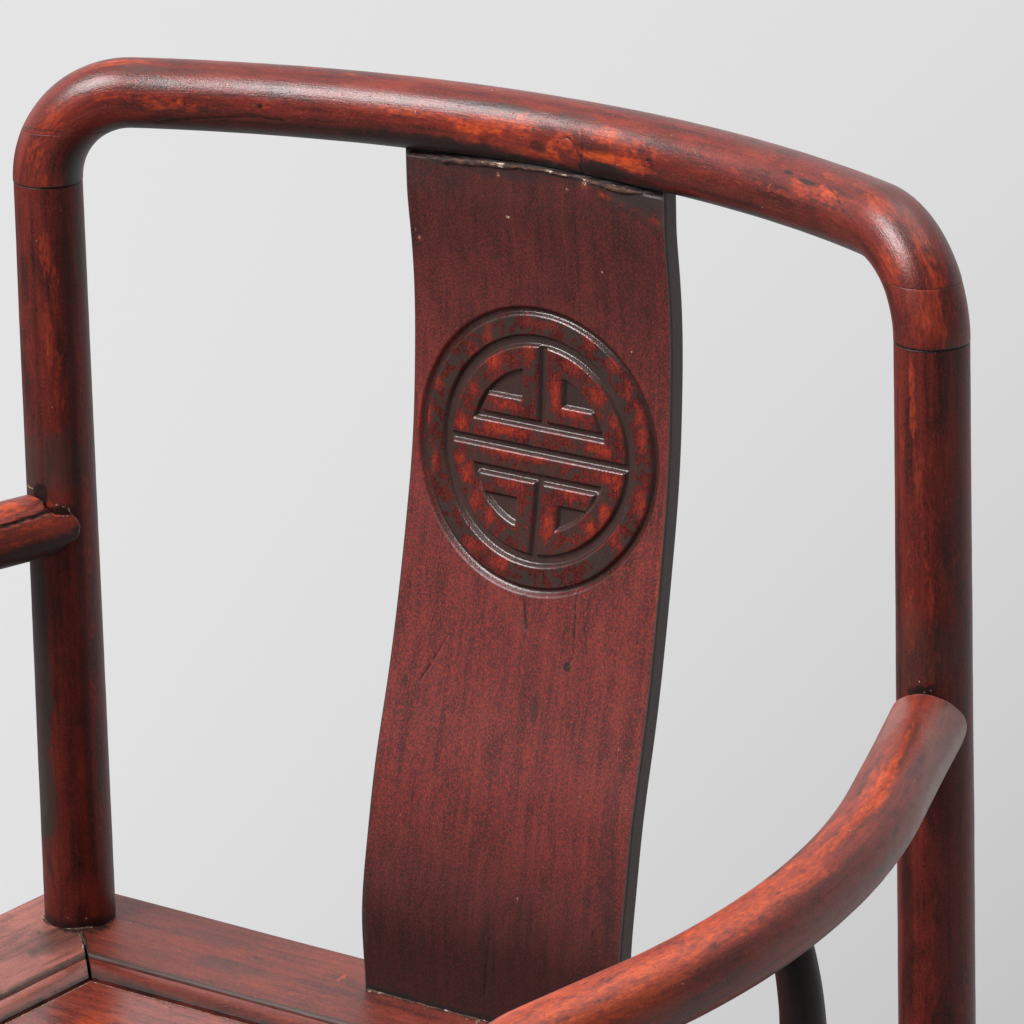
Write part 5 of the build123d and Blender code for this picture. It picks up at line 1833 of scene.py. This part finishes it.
def board(name, node, outline, origin, along, finish, seed):
    """A flat board with softened edges, from its outline."""
    face = np.cross(along, UP)
    origin = np.asarray(origin, float)
    outline = np.asarray(outline, float)
    middle = origin + outline[:, :1] * along + outline[:, 1:] * UP
    points = np.concatenate([middle + side * APRON_THICKNESS / 2 * face for side in (-1, 1)])
    count = len(outline)
    faces = [list(range(count)), list(range(count, 2 * count))[::-1]]
    for k in range(count):
        follow = (k + 1) % count
        faces.append([follow, k, count + k, count + follow])
    mesh = bpy.data.meshes.new(name)
    mesh.from_pydata(points.tolist(), [], faces)
    piece = add_object(name, mesh)
    soften = piece.modifiers.new("edges", "BEVEL")
    soften.width = APRON_BEVEL
    soften.segments = 3
    soften.limit_method = "ANGLE"
    soften.angle_limit = math.radians(40)
    depsgraph = bpy.context.evaluated_depsgraph_get()
    shaped = bpy.data.meshes.new_from_object(piece.evaluated_get(depsgraph))
    piece.modifiers.clear()
    piece.data = shaped
    shaped.name = name
    local = np.zeros(len(shaped.vertices) * 3)
    shaped.vertices.foreach_get("co", local)
    local = local.reshape(-1, 3) - origin
    grain = np.stack((local @ face, local @ UP, local @ along), -1)
    rim = np.abs(np.abs(grain[:, 0]) - APRON_THICKNESS / 2 + APRON_BEVEL / 2) < APRON_BEVEL
    prepare(shaped, grain + seed * 0.41, {"wear": 0.4 * rim}, sharp=35)
    return dress(piece, finish, "under_wood", node)


def aprons(finish):
    """The boards under the seat and under the foot rail."""
    reach = LEG_RADIUS - APRON_TONGUE
    span = POST_X - reach
    side_span = (REAR_Y - FRONT_Y) / 2 - reach
    strip = FRONT_STRIP_WIDTH + APRON_TONGUE
    head = APRON_HEAD_WIDTH + APRON_TONGUE
    front_y = FRONT_Y - APRON_SET
    front = apron_outline(span, FRONT_HEAD_DROP, strip, FRONT_CURVE)
    back = apron_outline(span, APRON_HEAD_DROP, head, APRON_CURVE)
    ends = apron_outline(side_span, APRON_HEAD_DROP, head, APRON_CURVE)
    board("apron_front", "front_apron", front, (0, front_y, SEAT_BOTTOM), RIGHT, finish, 71)
    board("apron_back", "back_apron", back, (0, REAR_Y + APRON_SET, SEAT_BOTTOM), -RIGHT, finish, 72)
    for hand, side in ((1, "right"), (-1, "left")):
        place = (hand * (POST_X + APRON_SET), (FRONT_Y + REAR_Y) / 2, SEAT_BOTTOM)
        board(f"apron_side_{side}", f"side_apron_{side}", ends, place, hand * BACK, finish, 73 + hand)
        edges = sorted((hand * (span - strip), hand * span))
        upright = plain_outline(*edges, FOOT_RAIL_TOP - SEAT_BOTTOM, -FRONT_HEAD_DROP)
        place = (0, front_y, SEAT_BOTTOM)
        board(f"strip_front_{side}", f"front_strip_{side}", upright, place, RIGHT, finish, 75 + hand)
    foot = plain_outline(-span, span, -FOOT_APRON_HEIGHT, 0)
    place = (0, front_y, FOOT_RAIL_TOP - FOOT_RAIL_SECTION[1])
    board("apron_foot", "foot_apron", foot, place, RIGHT, finish, 77)


def battens(finish):
    """The battens under the panel keep their own solids and get the finish."""
    for node in ("seat_batten_left", "seat_batten_right"):
        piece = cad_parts[node]
        piece.data.materials.clear()
        piece.data.materials.append(finish)


def along_y(f):
    """Grain places for a solid whose wood runs from front to back."""
    place = f.add("TexCoord")["Object"]
    parts = f.add("SeparateXYZ", {0: place})
    return f.add("CombineXYZ", {0: parts[0], 1: parts[2], 2: parts[1]})[0]


# Each lacquer's dark, plain, warm, worn and bright tones, its wear and gloss, and what else it has
LACQUERS = {
    "crest": (
        ((60, 19, 16), (106, 31, 22), (130, 44, 30), (158, 54, 28), (202, 78, 26)), 0.46, 0.36, {},
    ),
    "post": (
        ((50, 18, 17), (97, 31, 24), (113, 39, 30), (138, 48, 30), (170, 66, 30)), 0.42, 0.4,
        {"shine": 0.32},
    ),
    # The arms' pale ash tone is partly dust and partly a painted reflection of the bright wall
    "arm": (
        ((72, 27, 22), (124, 42, 29), (144, 54, 34), (172, 64, 32), (206, 82, 34)), 0.5, 0.38,
        {"ash": (150, 106, 97), "sheen": 0.12},
    ),
    # The supports' dark tones are partly painted shade under the arms
    "support": (
        ((30, 15, 14), (56, 24, 20), (74, 31, 25), (104, 46, 32), (130, 62, 40)), 0.36, 0.42,
        {"shine": 0.3},
    ),
    "splat": (
        ((68, 23, 23), (106, 37, 34), (124, 46, 41), (148, 48, 30), (190, 66, 26)), 0.3, 0.48,
        {"speckle": 0.8},
    ),
    "seat": (
        ((72, 30, 26), (114, 46, 36), (132, 58, 44), (158, 66, 36), (186, 84, 42)), 0.5, 0.42, {},
    ),
    # The left rail's paler tones are a painted reflection of the bright wall
    "rail": (
        ((116, 68, 61), (172, 102, 90), (188, 116, 103), (192, 106, 78), (208, 112, 72)), 0.5, 0.4, {},
    ),
    "panel": (
        ((88, 40, 35), (136, 62, 51), (160, 78, 60), (172, 70, 42), (196, 84, 44)), 0.45, 0.3, {},
    ),
    "lower": (
        ((40, 18, 17), (80, 30, 25), (98, 38, 30), (134, 54, 34), (162, 74, 40)), 0.42, 0.42, {},
    ),
    "under": (
        ((34, 20, 18), (58, 34, 28), (72, 44, 36), (96, 60, 44), (110, 72, 52)), 0.2, 0.6,
        {"place": along_y},
    ),
}


def build():
    """Every piece with its finish."""
    finishes = {
        name: lacquer(f"{name}_lacquer", tones, wear, gloss, **more)
        for name, (tones, wear, gloss, more) in LACQUERS.items()
    }
    filler = filler_material()
    crest(finishes["crest"])
    splat(finishes["splat"])
    fillers(filler)
    for hand, side, seed in ((1, "right", 11), (-1, "left", 21)):
        rear_post(hand, finishes["post"], side, seed)
        front_post(hand, finishes["post"], side, seed + 1)
        arm(hand, finishes["arm"], side, seed + 2)
        arm_support(hand, finishes["support"], side, seed + 3)
    seat_frame(finishes["seat"], finishes["rail"])
    seat_board(finishes["panel"])
    stretchers(finishes["lower"])
    aprons(finishes["lower"])
    battens(finishes["under"])


set_camera()
set_light()
set_floor()
build()
bpy.context.scene.view_settings.view_transform = "Standard"
